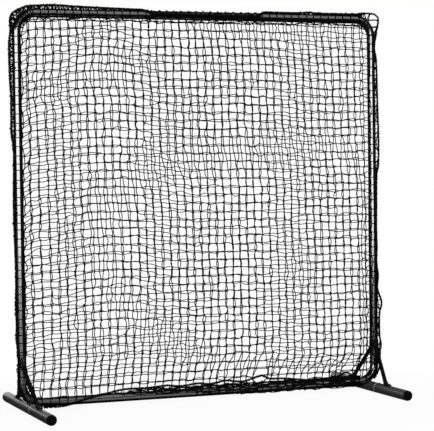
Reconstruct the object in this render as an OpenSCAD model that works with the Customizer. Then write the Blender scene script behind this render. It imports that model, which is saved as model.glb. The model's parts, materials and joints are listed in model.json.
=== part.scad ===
// Free-standing practice net: a square frame of slip-together steel tube, covered
// front and back by a knotted net, on two cross feet with bolted braces.
// Millimetres. +Z is up, the frame stands in the XZ plane, the front faces -Y.
// The origin is on the floor, midway between the feet.

/* [Frame] */
// Outer width of the square frame
frame_w = 2134; // [1600:1:2600]
// Outer height of the square frame
frame_h = 2134; // [1600:1:2600]
// Outside diameter of the frame tube
tube_d = 48.3; // [42:0.1:54]
// Wall of the frame tube
tube_wall = 2; // [1.5:0.1:3]
// Bend radius at the tube's centreline
bend_r = 100; // [90:1:140]
// Length of a corner's legs, from the frame's outer face
corner_leg = 420; // [340:1:600]
// Clear height under the bottom rail
rail_clear = 31; // [26:0.5:40]
// Length of the reduced end that slips into the next tube
spigot_len = 70; // [60:1:110]
// Radial clearance of a slip joint
spigot_gap = 0.2; // [0.1:0.05:0.5]

/* [Feet] */
// Outside diameter of the foot tube
foot_d = 57.15; // [52:0.05:64]
// Wall of the foot tube
foot_wall = 2.5; // [1.5:0.1:3.5]
// Length of a foot, front to back
foot_len = 965; // [760:1:1300]
// Length of the welded middle part of a foot
hub_len = 225; // [160:1:280]
// How far the foot's axis lies inboard of the upright's
foot_inset = 31; // [24:0.5:40]
// Thickness of an end plug's flange
plug_flange = 3; // [2:0.1:6]
// Depth of an end plug inside the tube
plug_depth = 22; // [12:1:40]
// Clearance between a welded saddle and the tube in it
saddle_gap = 0.3; // [0.2:0.05:0.5]

/* [Braces] */
// Diameter of a brace tube
brace_d = 19; // [14:0.1:24]
// Height of the bolt through the upright
brace_top_z = 290; // [250:1:330]
// Distance of the foot bolt from the frame's plane
brace_reach = 250; // [215:1:320]
// Width of a flattened end
tab_w = 32; // [26:1:36]
// Thickness of a flattened end
tab_t = 4; // [3:0.1:6]
// Length of a flattened end
tab_len = 52; // [44:1:64]
// Length over which a flattened end swells to the round tube
tab_blend = 26; // [20:1:36]
// Bolt diameter
bolt_d = 8; // [6:1:10]
// Length of thread that stands out of a nut
bolt_tip = 3; // [1:0.5:6]
// Thickness of a bolt's washer
washer_t = 1.6; // [1:0.2:2.4]

/* [Snap buttons] */
// Diameter of a snap button
button_d = 8; // [6:0.1:10]
// How far a button stands out of the tube
button_out = 3.5; // [2:0.1:5]
// Distance from a joint line to its button
button_back = 22; // [16:1:26]
// Thickness of the spring strip
strip_t = 0.8; // [0.5:0.1:1.2]
// Width of the spring strip
strip_w = 10; // [8:0.5:12]
// Length of the spring
strip_len = 44; // [36:1:60]

/* [Net] */
// Gaps along each side of a net panel
net_gaps = 14; // [8:1:16]
// Thickness of a net strand
strand_d = 4.4; // [2:0.1:5]
// Distance of the net's side strands inboard of the upright's axis
net_side_inset = 21; // [20:0.5:40]
// Distance of the net's top strand below the top rail's axis
net_top_inset = 8; // [7:0.5:20]
// Height of the net's lowest strand above the bottom rail's axis
net_foot_rise = 40; // [32:1:80]
// Diameter of the border rope and the hem rope
rope_d = 8; // [6:0.1:10]
// Clearance between soft goods and the tube they lie on
soft_gap = 0.3; // [0.2:0.05:1]

/* [Hidden] */
$fn = 64;

LEFT = -1;
RIGHT = 1;
FRONT = -1;
BACK = 1;
TOP = 1;
BOTTOM = -1;
SIDES = [LEFT, RIGHT];
ENDS = [FRONT, BACK];

black_coat = [0.07, 0.07, 0.075];
grey_coat = [0.36, 0.36, 0.37];
black_plastic = [0.03, 0.03, 0.03];
black_steel = [0.12, 0.12, 0.125];
spring_steel = [0.45, 0.45, 0.48];
black_cord = [0.04, 0.04, 0.045];

tube_r = tube_d / 2;
post_x = frame_w / 2 - tube_r;
rail_z = rail_clear + tube_r;
top_z = rail_clear + frame_h - tube_r;
leg = corner_leg - tube_r;
swage = 10;
spigot_wall = tube_wall;
spigot_r = tube_r - tube_wall - spigot_gap;

foot_r = foot_d / 2;
foot_x = post_x - foot_inset;
foot_spigot_r = foot_r - foot_wall - spigot_gap;
arm_end = foot_len / 2 - plug_flange;
arm_start = hub_len / 2;

button_play = 0.08;
button_flange_r = button_d / 2 + 1.5;
button_flange_t = 1.2;
button_clear = 0.3;
slide_gap = 0.1;

bolt_play = 0.25;
bolt_head_h = 0.65 * bolt_d;
bolt_head_r = 0.94 * bolt_d;
nut_h = 0.8 * bolt_d;
washer_d = 2 * bolt_d;
nut_play = 0.05;
seat_gap = 0.3;
eps = 0.01;

// ---------------------------------------------------------------- helpers

// Places its children with their +Z along the line from p to q.
module along(p, q) {
  v = q - p;
  translate(p)
    rotate([0, acos(v.z / norm(v)), atan2(v.y, v.x)])
      children();
}

// Turns a child drawn along +Z to run along +X.
module to_x() rotate([0, 90, 0]) children();

// Turns a child drawn along +Z to run along +Y.
module to_y() rotate([-90, 0, 0]) children();

// A straight open tube from the origin along +Z.
module pipe(r, wall, length) {
  difference() {
    cylinder(r = r, h = length);
    translate([0, 0, -1]) cylinder(r = r - wall, h = length + 2);
  }
}

// A swaged end: a shoulder ring that necks down to a spigot, from the shoulder along +Z.
module spigot(r, wall, inner_r, length) {
  bore_r = inner_r - spigot_wall;
  difference() {
    union() {
      translate([0, 0, -swage]) cylinder(r = r, h = swage);
      translate([0, 0, -eps]) cylinder(r = inner_r, h = length - 2);
      translate([0, 0, length - 2 - eps]) cylinder(r1 = inner_r, r2 = inner_r - 1, h = 2);
    }
    translate([0, 0, -swage - eps]) cylinder(r1 = r - wall, r2 = bore_r, h = swage - 2);
    translate([0, 0, -swage]) cylinder(r = bore_r, h = length + 2 * swage);
  }
}

// A hole for a snap button, drilled from the axis out along +X at height z.
module button_hole(z) {
  translate([0, 0, z]) to_x() cylinder(d = button_d + 2 * slide_gap, h = 2 * foot_d);
}

// ---------------------------------------------------------------- frame

// A solid quarter bend between two legs, which run to -X and -Z from the corner.
module bend(r) {
  translate([-bend_r, 0, -bend_r])
    rotate([90, 0, 0])
      rotate_extrude(angle = 90)
        translate([bend_r, 0]) circle(r);
}

// A solid elbow with legs of the given length.
module elbow(r, length) {
  bend(r);
  translate([0, 0, -length]) cylinder(r = r, h = length - bend_r);
  translate([-length, 0, 0]) to_x() cylinder(r = r, h = length - bend_r);
}

// A corner tube with a spigot on each leg, in the place of the top right corner.
module corner_tube() {
  difference() {
    union() {
      difference() {
        elbow(tube_r, leg - swage);
        elbow(tube_r - tube_wall, leg - swage + 1);
      }
      translate([0, 0, -leg]) rotate([180, 0, 0]) spigot(tube_r, tube_wall, spigot_r, spigot_len);
      translate([-leg, 0, 0]) rotate([0, -90, 0]) spigot(tube_r, tube_wall, spigot_r, spigot_len);
    }
    translate([0, 0, -leg]) rotate([180, 0, -90]) button_hole(button_back);
    translate([-leg, 0, 0]) rotate([0, -90, 0]) rotate([0, 0, -90]) button_hole(button_back);
  }
}

// A corner at the given side and level of the frame, with its front to the front.
module corner(side, level) {
  translate([side * post_x, 0, level == TOP ? top_z : rail_z])
    mirror([side == LEFT ? 1 : 0, 0, 0])
      mirror([0, 0, level == BOTTOM ? 1 : 0])
        corner_tube();
}

// A bottom corner also takes the bolt that holds the braces.
module bottom_corner(side) {
  difference() {
    corner(side, BOTTOM);
    translate([side * post_x, 0, brace_top_z])
      to_y() cylinder(d = bolt_d + 2 * bolt_play, h = 2 * tube_d, center = true);
  }
}

// A straight frame tube along +Z with a button hole to the front at each end.
module straight_tube(length) {
  difference() {
    pipe(tube_r, tube_wall, length);
    rotate([0, 0, -90]) button_hole(button_back);
    rotate([0, 0, -90]) button_hole(length - button_back);
  }
}

module upright(side) {
  color(black_coat)
    translate([side * post_x, 0, rail_clear + corner_leg])
      straight_tube(frame_h - 2 * corner_leg);
}

module rail(z) {
  color(black_coat)
    translate([-frame_w / 2 + corner_leg, 0, z])
      to_x() straight_tube(frame_w - 2 * corner_leg);
}

// ---------------------------------------------------------------- snap buttons

// Radius at which a button's flange rests under the spigot's wall.
function flange_rest(bore_r) = sqrt(bore_r * bore_r - button_flange_r * button_flange_r) - button_play;

// A snap button that points out along +X from the tube's axis.
module snap_button(outer_r, bore_r) {
  seat = flange_rest(bore_r);
  tip = outer_r + button_out;
  dome = button_d / 2;
  color(black_steel) to_x() {
    translate([0, 0, seat - button_flange_t]) cylinder(r = button_flange_r, h = button_flange_t);
    translate([0, 0, seat - eps]) cylinder(d = button_d, h = tip - dome / 2 - seat);
    translate([0, 0, tip - dome / 2 - 2 * eps])
      intersection() {
        translate([0, 0, -dome * 0.75]) sphere(r = dome * 1.25);
        cylinder(r = dome, h = dome);
      }
  }
}

// The spring strip under a button: a V whose legs lie along the tube's +Z.
module v_spring(bore_r) {
  near = flange_rest(bore_r) - button_flange_t - slide_gap;
  far = sqrt(bore_r * bore_r - strip_w * strip_w / 4) - slide_gap;
  pad = button_flange_r + 1;
  fold = 2.5;
  color(spring_steel)
    rotate([90, 0, 0])
      linear_extrude(strip_w, center = true)
        polygon([
          [near, -pad], [near, pad], [fold, strip_len], [-fold, strip_len], [-far, pad], [-far, -pad],
          [strip_t - far, -pad], [strip_t - far, pad], [strip_t - fold, strip_len - strip_t],
          [fold - strip_t, strip_len - strip_t], [near - strip_t, pad], [near - strip_t, -pad]
        ]);
}

frame_bore_r = spigot_r - spigot_wall;
foot_bore_r = foot_spigot_r - spigot_wall;

// Places a child drawn on a tube's axis, facing +X, at a joint of an upright.
module at_upright_joint(side, level) {
  z = level == BOTTOM ? rail_clear + corner_leg + button_back : rail_clear + frame_h - corner_leg - button_back;
  translate([side * post_x, 0, z])
    mirror([0, 0, level == BOTTOM ? 0 : 1])
      rotate([0, 0, -90]) children();
}

// The same at a joint of a rail.
module at_rail_joint(side, level) {
  x = frame_w / 2 - corner_leg - button_back;
  translate([side * x, 0, level == TOP ? top_z : rail_z])
    mirror([side == LEFT ? 1 : 0, 0, 0])
      rotate([0, -90, 0]) rotate([0, 0, -90]) children();
}

// The same at a joint of a foot, where the button faces -X.
module at_foot_joint(side, end) {
  translate([side * foot_x, end * (arm_start + button_back), foot_r])
    mirror([0, end == FRONT ? 1 : 0, 0])
      rotate([-90, 0, 0]) rotate([0, 0, 180]) children();
}

module frame_button() snap_button(tube_r, frame_bore_r);

module foot_button(side, end) at_foot_joint(side, end) snap_button(foot_r, foot_bore_r);

module frame_button_springs() {
  for (side = SIDES, level = [BOTTOM, TOP]) {
    at_upright_joint(side, level) v_spring(frame_bore_r);
    at_rail_joint(side, level) v_spring(frame_bore_r);
  }
}

module foot_button_springs() {
  for (side = SIDES, end = ENDS)
    at_foot_joint(side, end) v_spring(foot_bore_r);
}

// ---------------------------------------------------------------- feet

// The middle of a foot: coped to the frame's bend, with a spigot at each end.
module foot_hub(side) {
  color(grey_coat)
    difference() {
      translate([side * foot_x, 0, foot_r])
        union() {
          translate([0, -arm_start + swage, 0]) to_y() pipe(foot_r, foot_wall, hub_len - 2 * swage);
          for (end = ENDS)
            mirror([0, end == FRONT ? 1 : 0, 0])
              translate([0, arm_start, 0]) to_y()
                difference() {
                  spigot(foot_r, foot_wall, foot_spigot_r, spigot_len);
                  rotate([0, 0, 180]) button_hole(button_back);
                }
        }
      translate([side * post_x, 0, rail_z])
        mirror([side == LEFT ? 1 : 0, 0, 0])
          mirror([0, 0, 1])
            bend(tube_r + saddle_gap);
    }
}

// An arm of a foot, with its button hole and the hole for the brace bolt.
module foot_arm(side, end) {
  color(grey_coat)
    translate([side * foot_x, 0, foot_r])
      mirror([0, end == FRONT ? 1 : 0, 0])
        difference() {
          translate([0, arm_start, 0]) to_y() pipe(foot_r, foot_wall, arm_end - arm_start);
          translate([0, arm_start, 0]) to_y() rotate([0, 0, 180]) button_hole(button_back);
          translate([0, brace_reach, 0]) cylinder(d = bolt_d + 2 * bolt_play, h = foot_d);
        }
}

// An end plug: a chamfered flange on a ribbed stem.
module foot_plug(side, end) {
  flange_r = foot_r - 0.3;
  rib_r = foot_r - foot_wall - 0.1;
  stem_r = rib_r - 1.2;
  ribs = 4;
  color(black_plastic)
    translate([side * foot_x, 0, foot_r])
      mirror([0, end == FRONT ? 1 : 0, 0])
        translate([0, arm_end, 0]) to_y() {
          cylinder(r = flange_r, h = plug_flange - 1);
          translate([0, 0, plug_flange - 1 - eps]) cylinder(r1 = flange_r, r2 = flange_r - 1, h = 1);
          difference() {
            union() {
              translate([0, 0, -plug_depth]) cylinder(r = stem_r, h = plug_depth + eps);
              for (i = [0:ribs - 1])
                translate([0, 0, -plug_depth + (i + 0.5) * plug_depth / ribs - 1]) cylinder(r = rib_r, h = 2);
            }
            translate([0, 0, -plug_depth - 1]) cylinder(r = stem_r - 2, h = plug_depth);
          }
        }
}

// ---------------------------------------------------------------- braces

// A flattened brace end with a bolt hole, in the XZ plane: the hole is at the
// origin, the plate runs down to -Z and lies from y = 0 to +Y.
module brace_tab() {
  difference() {
    union() {
      to_y() cylinder(d = tab_w, h = tab_t);
      translate([-tab_w / 2, 0, tab_w / 2 - tab_len]) cube([tab_w, tab_t, tab_len - tab_w / 2]);
    }
    translate([0, -1, 0]) to_y() cylinder(d = bolt_d + 2 * bolt_play, h = tab_t + 2);
  }
}

// A thin slice just inside a tab's tail, which the tube blends into.
module tab_tail() {
  inset = 0.1;
  translate([inset - tab_w / 2, inset, tab_w / 2 - tab_len + 0.5])
    cube([tab_w - 2 * inset, tab_t - 2 * inset, 1]);
}

// The round end of a blend, a hair wider than the tube that comes out of it.
module blend_end() cylinder(d = brace_d + 0.2, h = 1, $fn = 32);

// A brace for the back; the front one is its mirror image.
module back_brace(side) {
  top = [side * post_x, tube_r + seat_gap, brace_top_z];
  bottom = [side * foot_x, brace_reach, foot_d + seat_gap];
  p = top + [0, tab_t / 2, tab_w / 2 - tab_len];
  q = bottom + [0, tab_w / 2 - tab_len, tab_t / 2];
  dir = (q - p) / norm(q - p);
  tube_start = p + dir * tab_blend;
  tube_end = q - dir * tab_blend;
  color(black_coat) {
    translate(top) brace_tab();
    translate(bottom) rotate([90, 0, 0]) mirror([0, 0, 1]) brace_tab();
    hull() {
      translate(top) tab_tail();
      along(tube_start, tube_end) blend_end();
    }
    along(tube_start, tube_end) cylinder(d = brace_d, h = norm(tube_end - tube_start));
    hull() {
      translate(bottom) rotate([90, 0, 0]) mirror([0, 0, 1]) tab_tail();
      along(tube_end - dir, tube_end) blend_end();
    }
  }
}

module brace(side, end) mirror([0, end == FRONT ? 1 : 0, 0]) back_brace(side);

// ---------------------------------------------------------------- fasteners

module hex_head() cylinder(r = bolt_head_r, h = bolt_head_h, $fn = 6);

module hex_nut() {
  difference() {
    cylinder(r = bolt_head_r, h = nut_h, $fn = 6);
    translate([0, 0, -1]) cylinder(d = bolt_d + 2 * nut_play, h = nut_h + 2);
  }
}

module washer() {
  difference() {
    cylinder(d = washer_d, h = washer_t, $fn = 32);
    translate([0, 0, -1]) cylinder(d = bolt_d + 2 * bolt_play, h = washer_t + 2, $fn = 32);
  }
}

tab_face = tube_r + seat_gap + tab_t;
clamp_face = tab_face + washer_t;

// One long bolt clamps the front and back braces to each upright.
module upright_bolts() {
  color(black_steel)
    for (side = SIDES)
      translate([side * post_x, 0, brace_top_z]) {
        translate([0, -clamp_face, 0]) rotate([90, 0, 0]) hex_head();
        translate([0, -clamp_face, 0]) to_y() cylinder(d = bolt_d, h = 2 * clamp_face + nut_h + bolt_tip);
      }
}

module upright_nuts() {
  color(black_steel)
    for (side = SIDES)
      translate([side * post_x, clamp_face, brace_top_z]) to_y() hex_nut();
}

module upright_washers() {
  color(black_steel)
    for (side = SIDES, end = ENDS)
      translate([side * post_x, 0, brace_top_z])
        mirror([0, end == FRONT ? 1 : 0, 0])
          translate([0, tab_face, 0]) to_y() washer();
}

// The top of the nut that is welded inside a foot arm.
foot_nut_top = sqrt(pow(foot_r - foot_wall, 2) - bolt_head_r * bolt_head_r) - slide_gap;
foot_tab_top = foot_d + seat_gap + tab_t;

module foot_bolts() {
  head_z = foot_tab_top + washer_t;
  tip_z = foot_r + foot_nut_top - nut_h - bolt_tip;
  color(black_steel)
    for (side = SIDES, end = ENDS)
      translate([side * foot_x, end * brace_reach, 0]) {
        translate([0, 0, head_z]) hex_head();
        translate([0, 0, tip_z]) cylinder(d = bolt_d, h = head_z - tip_z + eps);
      }
}

module foot_washers() {
  color(black_steel)
    for (side = SIDES, end = ENDS)
      translate([side * foot_x, end * brace_reach, foot_tab_top]) washer();
}

module foot_nuts() {
  color(black_steel)
    for (side = SIDES, end = ENDS)
      translate([side * foot_x, end * brace_reach, foot_r + foot_nut_top - nut_h]) hex_nut();
}

// ---------------------------------------------------------------- net

// The net's planes lie against the frame's front and back, clear of the snap buttons.
net_y = tube_r + soft_gap;

// A flat net panel: square gaps between crossing strands.
module net_panel() {
  w = 2 * (post_x - net_side_inset);
  low = rail_z + net_foot_rise;
  h = top_z - net_top_inset - low;
  for (i = [0:net_gaps]) {
    translate([-w / 2 + i * w / net_gaps, low + h / 2]) square([strand_d, h + strand_d], center = true);
    translate([0, low + i * h / net_gaps]) square([w + strand_d, strand_d], center = true);
  }
}

module net(end) {
  color(black_cord)
    translate([0, end * (net_y + strand_d / 2), 0])
      rotate([90, 0, 0]) linear_extrude(strand_d, center = true) net_panel();
}

// ---------------------------------------------------------------- ropes

rope_gap = 0.5;
lie = tube_r + rope_gap + rope_d / 2;

// Points of a rope: beside an upright, on or about a rail, and in the open.
function beside(side, out, y, z) = [side * (post_x + out), y, z];
function on_top(x, out, deg) = [x, -out * cos(deg), top_z + out * sin(deg)];
function on_foot(x, out, deg) = [x, -out * cos(deg), rail_z + out * sin(deg)];

border_route = [
  beside(LEFT, 22.5, -18, 165), beside(LEFT, 22.5, -18, 215), beside(LEFT, 23, -18, 325),
  beside(LEFT, 30, -8, 410), beside(LEFT, 27, -13, 470), beside(LEFT, 29, -5, 590),
  beside(LEFT, 26.5, -12, 700), beside(LEFT, 27.5, -10, 870), beside(LEFT, 29, 0, 1100),
  beside(LEFT, 26.5, -12, 1400), beside(LEFT, 36, -4, 1500), beside(LEFT, 35, -8, 1690),
  beside(LEFT, 41, -12, 1780), beside(LEFT, 45, -20, 1960), beside(LEFT, 33, -8, 2042),
  beside(LEFT, 33, 0, 2085), beside(LEFT, 28, 0, 2121), beside(LEFT, 11, 0, 2142),
  [-1016, 0, 2162], [-983, 0, 2175], [-920, 0, 2180], [-835, 0, 2184], [-690, 0, 2178],
  [-440, 0, 2171], on_top(-360, lie, 90), on_top(-345, lie, 78), on_top(-332, lie, 64),
  on_top(-320, lie, 50), on_top(-307, lie, 36), on_top(-292, lie, 22), on_top(-270, lie, 8),
  on_top(30, lie, 5), on_top(325, lie, 8), on_top(340, lie, 22), on_top(352, lie, 36),
  on_top(362, lie, 50), on_top(372, lie, 64), on_top(384, lie, 78), on_top(400, lie, 90),
  on_top(585, lie, 85), on_top(662, 33, 88), on_top(722, lie, 88), on_top(945, lie, 90),
  [985, -4, 2175], [1030, -8, 2175], [1058, -12, 2172], [1077, -12, 2161],
  beside(RIGHT, 45, -12, 2140), beside(RIGHT, 33, -8, 2062), beside(RIGHT, 27.5, 8, 1980),
  beside(RIGHT, 32, 0, 1915), beside(RIGHT, 33, 0, 1825), beside(RIGHT, 37, 0, 1600),
  beside(RIGHT, 40, 0, 1440), beside(RIGHT, 37, 0, 1300), beside(RIGHT, 29, 0, 1240),
  beside(RIGHT, 28, 6, 1000), beside(RIGHT, 27, 10, 770), beside(RIGHT, 32, 0, 667),
  beside(RIGHT, 28.5, 4, 592), beside(RIGHT, 45, -12, 520), beside(RIGHT, 43, -12, 484),
  beside(RIGHT, 36, -4, 445),
  beside(RIGHT, 37, 0, 320), beside(RIGHT, 46, 0, 266), beside(RIGHT, 39, 0, 220),
  beside(RIGHT, 35, 0, 138), beside(RIGHT, 14, 0, 88), beside(RIGHT, -3, 0, 68)
];

hem_route = [
  on_foot(-925, lie, -90), on_foot(-870, lie, -88), on_foot(-840, lie, -75), on_foot(-818, lie, -61),
  on_foot(-798, lie, -47), on_foot(-776, lie, -33), on_foot(-752, lie, -19), on_foot(-728, lie, -5),
  on_foot(-704, lie, 8), on_foot(-680, lie, 21), on_foot(-656, lie, 34), on_foot(-630, lie, 46),
  on_foot(-602, lie, 57), on_foot(-565, 30, 68), [-515, -6, 92], [-463, -6, 98], [-383, -5, 97],
  [-308, -6, 98], [-226, -4, 103], [-147, -6, 95], [-44, -4, 104], [27, -6, 97], [117, -4, 110],
  [175, -5, 103], [231, -5, 100], [304, -4, 119], [341, -4, 125], [384, -5, 106], [469, -5, 102],
  [550, -6, 92], on_foot(620, 30, 76), on_foot(700, lie, 80), on_foot(775, lie, 84),
  [820, -3, 98], [857, -4, 113], [893, -3, 100], on_foot(938, 30, 86)
];

// The direction of a route at point i, and a ring of points square to it.
function heading(route, i) =
  let (a = route[max(i - 1, 0)], b = route[min(i + 1, len(route) - 1)]) (b - a) / norm(b - a);
function ring(route, i, r, sides) =
  let (t = heading(route, i), u = cross(t, [0, 1, 0]) / norm(cross(t, [0, 1, 0])), v = cross(t, u))
  [for (k = [0:sides - 1]) route[i] + r * (cos(k * 360 / sides) * u + sin(k * 360 / sides) * v)];

// A tube swept along a route, closed at both ends.
module rope(route, r, sides = 8) {
  n = len(route);
  points = [for (i = [0:n - 1]) each ring(route, i, r, sides)];
  walls = [
    for (i = [0:n - 2], k = [0:sides - 1])
      let (a = i * sides + k, b = i * sides + (k + 1) % sides) each [[a, b, b + sides], [a, b + sides, a + sides]]
  ];
  caps = [
    for (k = [1:sides - 2])
      each [[0, k + 1, k], [(n - 1) * sides, (n - 1) * sides + k, (n - 1) * sides + k + 1]]
  ];
  polyhedron(points, concat(walls, caps));
}

module border_rope() color(black_cord) rope(border_route, rope_d / 2);

module hem_rope() color(black_cord) rope(hem_route, rope_d / 2);

// ---------------------------------------------------------------- nodes

color(black_coat) corner(LEFT, TOP);  // top_left_corner
color(black_coat) corner(RIGHT, TOP);  // top_right_corner
color(black_coat) bottom_corner(LEFT);  // bottom_left_corner
color(black_coat) bottom_corner(RIGHT);  // bottom_right_corner
upright(LEFT);  // left_upright
upright(RIGHT);  // right_upright
rail(top_z);  // top_rail
rail(rail_z);  // bottom_rail
at_upright_joint(LEFT, BOTTOM) frame_button();  // left_lower_button
at_upright_joint(LEFT, TOP) frame_button();  // left_upper_button
at_upright_joint(RIGHT, BOTTOM) frame_button();  // right_lower_button
at_upright_joint(RIGHT, TOP) frame_button();  // right_upper_button
at_rail_joint(LEFT, TOP) frame_button();  // top_left_button
at_rail_joint(RIGHT, TOP) frame_button();  // top_right_button
at_rail_joint(LEFT, BOTTOM) frame_button();  // bottom_left_button
at_rail_joint(RIGHT, BOTTOM) frame_button();  // bottom_right_button
foot_hub(LEFT);  // left_foot_hub
foot_hub(RIGHT);  // right_foot_hub
foot_arm(LEFT, FRONT);  // left_front_arm
foot_arm(LEFT, BACK);  // left_back_arm
foot_arm(RIGHT, FRONT);  // right_front_arm
foot_arm(RIGHT, BACK);  // right_back_arm
foot_plug(LEFT, FRONT);  // left_front_plug
foot_plug(LEFT, BACK);  // left_back_plug
foot_plug(RIGHT, FRONT);  // right_front_plug
foot_plug(RIGHT, BACK);  // right_back_plug
foot_button(LEFT, FRONT);  // left_front_button
foot_button(LEFT, BACK);  // left_back_button
foot_button(RIGHT, FRONT);  // right_front_button
foot_button(RIGHT, BACK);  // right_back_button
brace(LEFT, FRONT);  // left_front_brace
brace(LEFT, BACK);  // left_back_brace
brace(RIGHT, FRONT);  // right_front_brace
brace(RIGHT, BACK);  // right_back_brace
upright_bolts();
upright_nuts();
upright_washers();
foot_bolts();
foot_nuts();
foot_washers();
frame_button_springs();
foot_button_springs();
net(FRONT);  // front_net
net(BACK);  // back_net
border_rope();
hem_rope();
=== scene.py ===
"""Studio scene of a free-standing practice net.

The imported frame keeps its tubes, feet, braces and buttons. They get their finishes
here, and the braces' tubes are filled out a little. The two layers of knotted net, the
laid ropes, the springs, the weld beads and the hubs' lips are built here. Metres, +Z up,
the front faces -Y.
"""

import json
import logging
import math
import random
from collections.abc import Iterator
from dataclasses import dataclass, field
from enum import Enum

import bmesh
import bpy
from mathutils import Matrix, Vector, noise


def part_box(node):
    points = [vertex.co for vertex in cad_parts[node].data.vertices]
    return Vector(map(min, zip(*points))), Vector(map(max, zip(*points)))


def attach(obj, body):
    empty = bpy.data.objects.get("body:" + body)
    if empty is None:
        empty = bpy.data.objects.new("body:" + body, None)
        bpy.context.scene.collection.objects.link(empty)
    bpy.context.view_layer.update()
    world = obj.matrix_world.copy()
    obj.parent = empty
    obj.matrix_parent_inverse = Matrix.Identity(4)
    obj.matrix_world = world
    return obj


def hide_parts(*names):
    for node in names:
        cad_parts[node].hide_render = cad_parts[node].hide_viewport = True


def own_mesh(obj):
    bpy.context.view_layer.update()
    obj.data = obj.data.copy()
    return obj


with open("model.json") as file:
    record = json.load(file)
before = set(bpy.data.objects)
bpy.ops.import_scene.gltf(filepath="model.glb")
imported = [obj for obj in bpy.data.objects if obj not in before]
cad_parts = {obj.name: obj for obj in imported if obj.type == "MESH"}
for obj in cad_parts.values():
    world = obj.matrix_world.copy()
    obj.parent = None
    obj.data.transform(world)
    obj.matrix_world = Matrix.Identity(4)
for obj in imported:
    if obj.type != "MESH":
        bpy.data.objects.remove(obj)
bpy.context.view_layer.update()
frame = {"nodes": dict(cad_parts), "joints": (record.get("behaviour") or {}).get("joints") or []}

LOG = logging.getLogger("practice_net")
Colour = tuple[float, float, float]
Point = tuple[float, float, float]
Socket = bpy.types.NodeSocket
MM = 0.001
WHITE = (1.0, 1.0, 1.0, 1.0)
SAME_PLACE = 1e-7
WELD_REACH = 1e-5
BODY = "frame"


class Slot(Enum):
    """The record's material slots."""

    FRAME = "frame_coat"
    FOOT = "foot_coat"
    PLUG = "plug_plastic"
    STEEL = "black_steel"
    SPRING = "spring_steel"
    NET = "net_cord"
    ROPE = "rope_cord"


class Way(Enum):
    """A choice of two opposite ways, each valued as the sign of a coordinate."""

    @property
    def word(self) -> str:
        """The way as node names spell it."""
        return self.name.lower()


class Side(Way):
    """Left or right on the frame, as the sign of x."""

    LEFT = -1
    RIGHT = 1


class End(Way):
    """The front or the back of the frame, as the sign of y."""

    FRONT = -1
    BACK = 1


class Level(Way):
    """The bottom or the top of the frame, as the sign of the way out."""

    BOTTOM = -1
    TOP = 1


# ---------------------------------------------------------------- materials


class Shader:
    """A material or a node group with short calls to add and join its nodes."""

    def __init__(self, tree: bpy.types.NodeTree) -> None:
        """Keeps the tree that the nodes go into.

        Args:
            tree: The node tree of a material, a world or a group.
        """
        self.tree = tree

    def add(
        self, kind: str, values: dict[str | int, object] | None = None, **settings: object
    ) -> bpy.types.Node:
        """Adds a node.

        Args:
            kind: The node's type name.
            values: Constants or output sockets for its inputs, by name or number.
            settings: Properties of the node itself.

        Returns:
            The new node.
        """
        node = self.tree.nodes.new(kind)
        for name, value in settings.items():
            setattr(node, name, value)
        for key, value in (values or {}).items():
            if isinstance(value, Socket):
                self.tree.links.new(value, node.inputs[key])
            else:
                node.inputs[key].default_value = value
        return node

    def math(self, operation: str, first: object, second: object = 0.0) -> Socket:
        """Adds a Math node and returns its output."""
        return self.add("ShaderNodeMath", {0: first, 1: second}, operation=operation).outputs[0]

    def remap(
        self, value: object, low: float, high: float, at_low: float = 0.0, at_high: float = 1.0
    ) -> Socket:
        """Maps a value from one range to another and holds it at the ends.

        Args:
            value: The value, as a number or an output socket.
            low: Where the first range starts.
            high: Where it ends.
            at_low: The result at its start.
            at_high: The result at its end.

        Returns:
            The result's socket.
        """
        ranges = {"From Min": low, "From Max": high, "To Min": at_low, "To Max": at_high}
        return self.add("ShaderNodeMapRange", {"Value": value, **ranges}).outputs["Result"]

    def cloud(self, where: object, scale: object, detail: float) -> Socket:
        """Adds a noise texture and returns its factor."""
        values = {"Vector": where, "Scale": scale, "Detail": detail}
        return self.add("ShaderNodeTexNoise", values).outputs["Fac"]

    def bump(self, strength: object, distance: float, height: object) -> Socket:
        """Adds a Bump node and returns its normal."""
        values = {"Strength": strength, "Distance": distance, "Height": height}
        return self.add("ShaderNodeBump", values).outputs["Normal"]

    def mix(self, share: object, first: object, second: object) -> Socket:
        """Mixes two numbers, inputs 2 and 3 of a Mix node, and returns the result's socket."""
        return self.add("ShaderNodeMix", {0: share, 2: first, 3: second}, data_type="FLOAT").outputs[0]

    def mix_surfaces(self, share: object, first: object, second: object) -> Socket:
        """Mixes two surfaces and returns the result's socket."""
        return self.add("ShaderNodeMixShader", {0: share, 1: first, 2: second}).outputs[0]

    def matt(self, grey: float) -> Socket:
        """Adds a matt grey surface and returns its socket."""
        return self.add("ShaderNodeBsdfDiffuse", {"Color": (grey, grey, grey, 1)}).outputs[0]

    def glow(self, strength: object) -> Socket:
        """Adds a surface that shines white and returns its socket."""
        return self.add("ShaderNodeEmission", {"Color": WHITE, "Strength": strength}).outputs[0]

    def ray_kinds(self) -> tuple[Socket, Socket]:
        """Tells rays apart.

        Returns:
            Sockets that are 1 for rays from the camera, also through glass, and for mirror rays.
        """
        path = self.add("ShaderNodeLightPath").outputs
        seen = self.math("MAXIMUM", path["Is Camera Ray"], path["Is Transmission Ray"])
        return seen, path["Is Glossy Ray"]


def new_material(name: str) -> tuple[bpy.types.Material, Shader]:
    """Makes an empty node material.

    Args:
        name: Name of the material.

    Returns:
        The material and its helper.
    """
    material = bpy.data.materials.new(name)
    material.use_nodes = True
    material.node_tree.nodes.clear()
    return material, Shader(material.node_tree)


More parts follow.
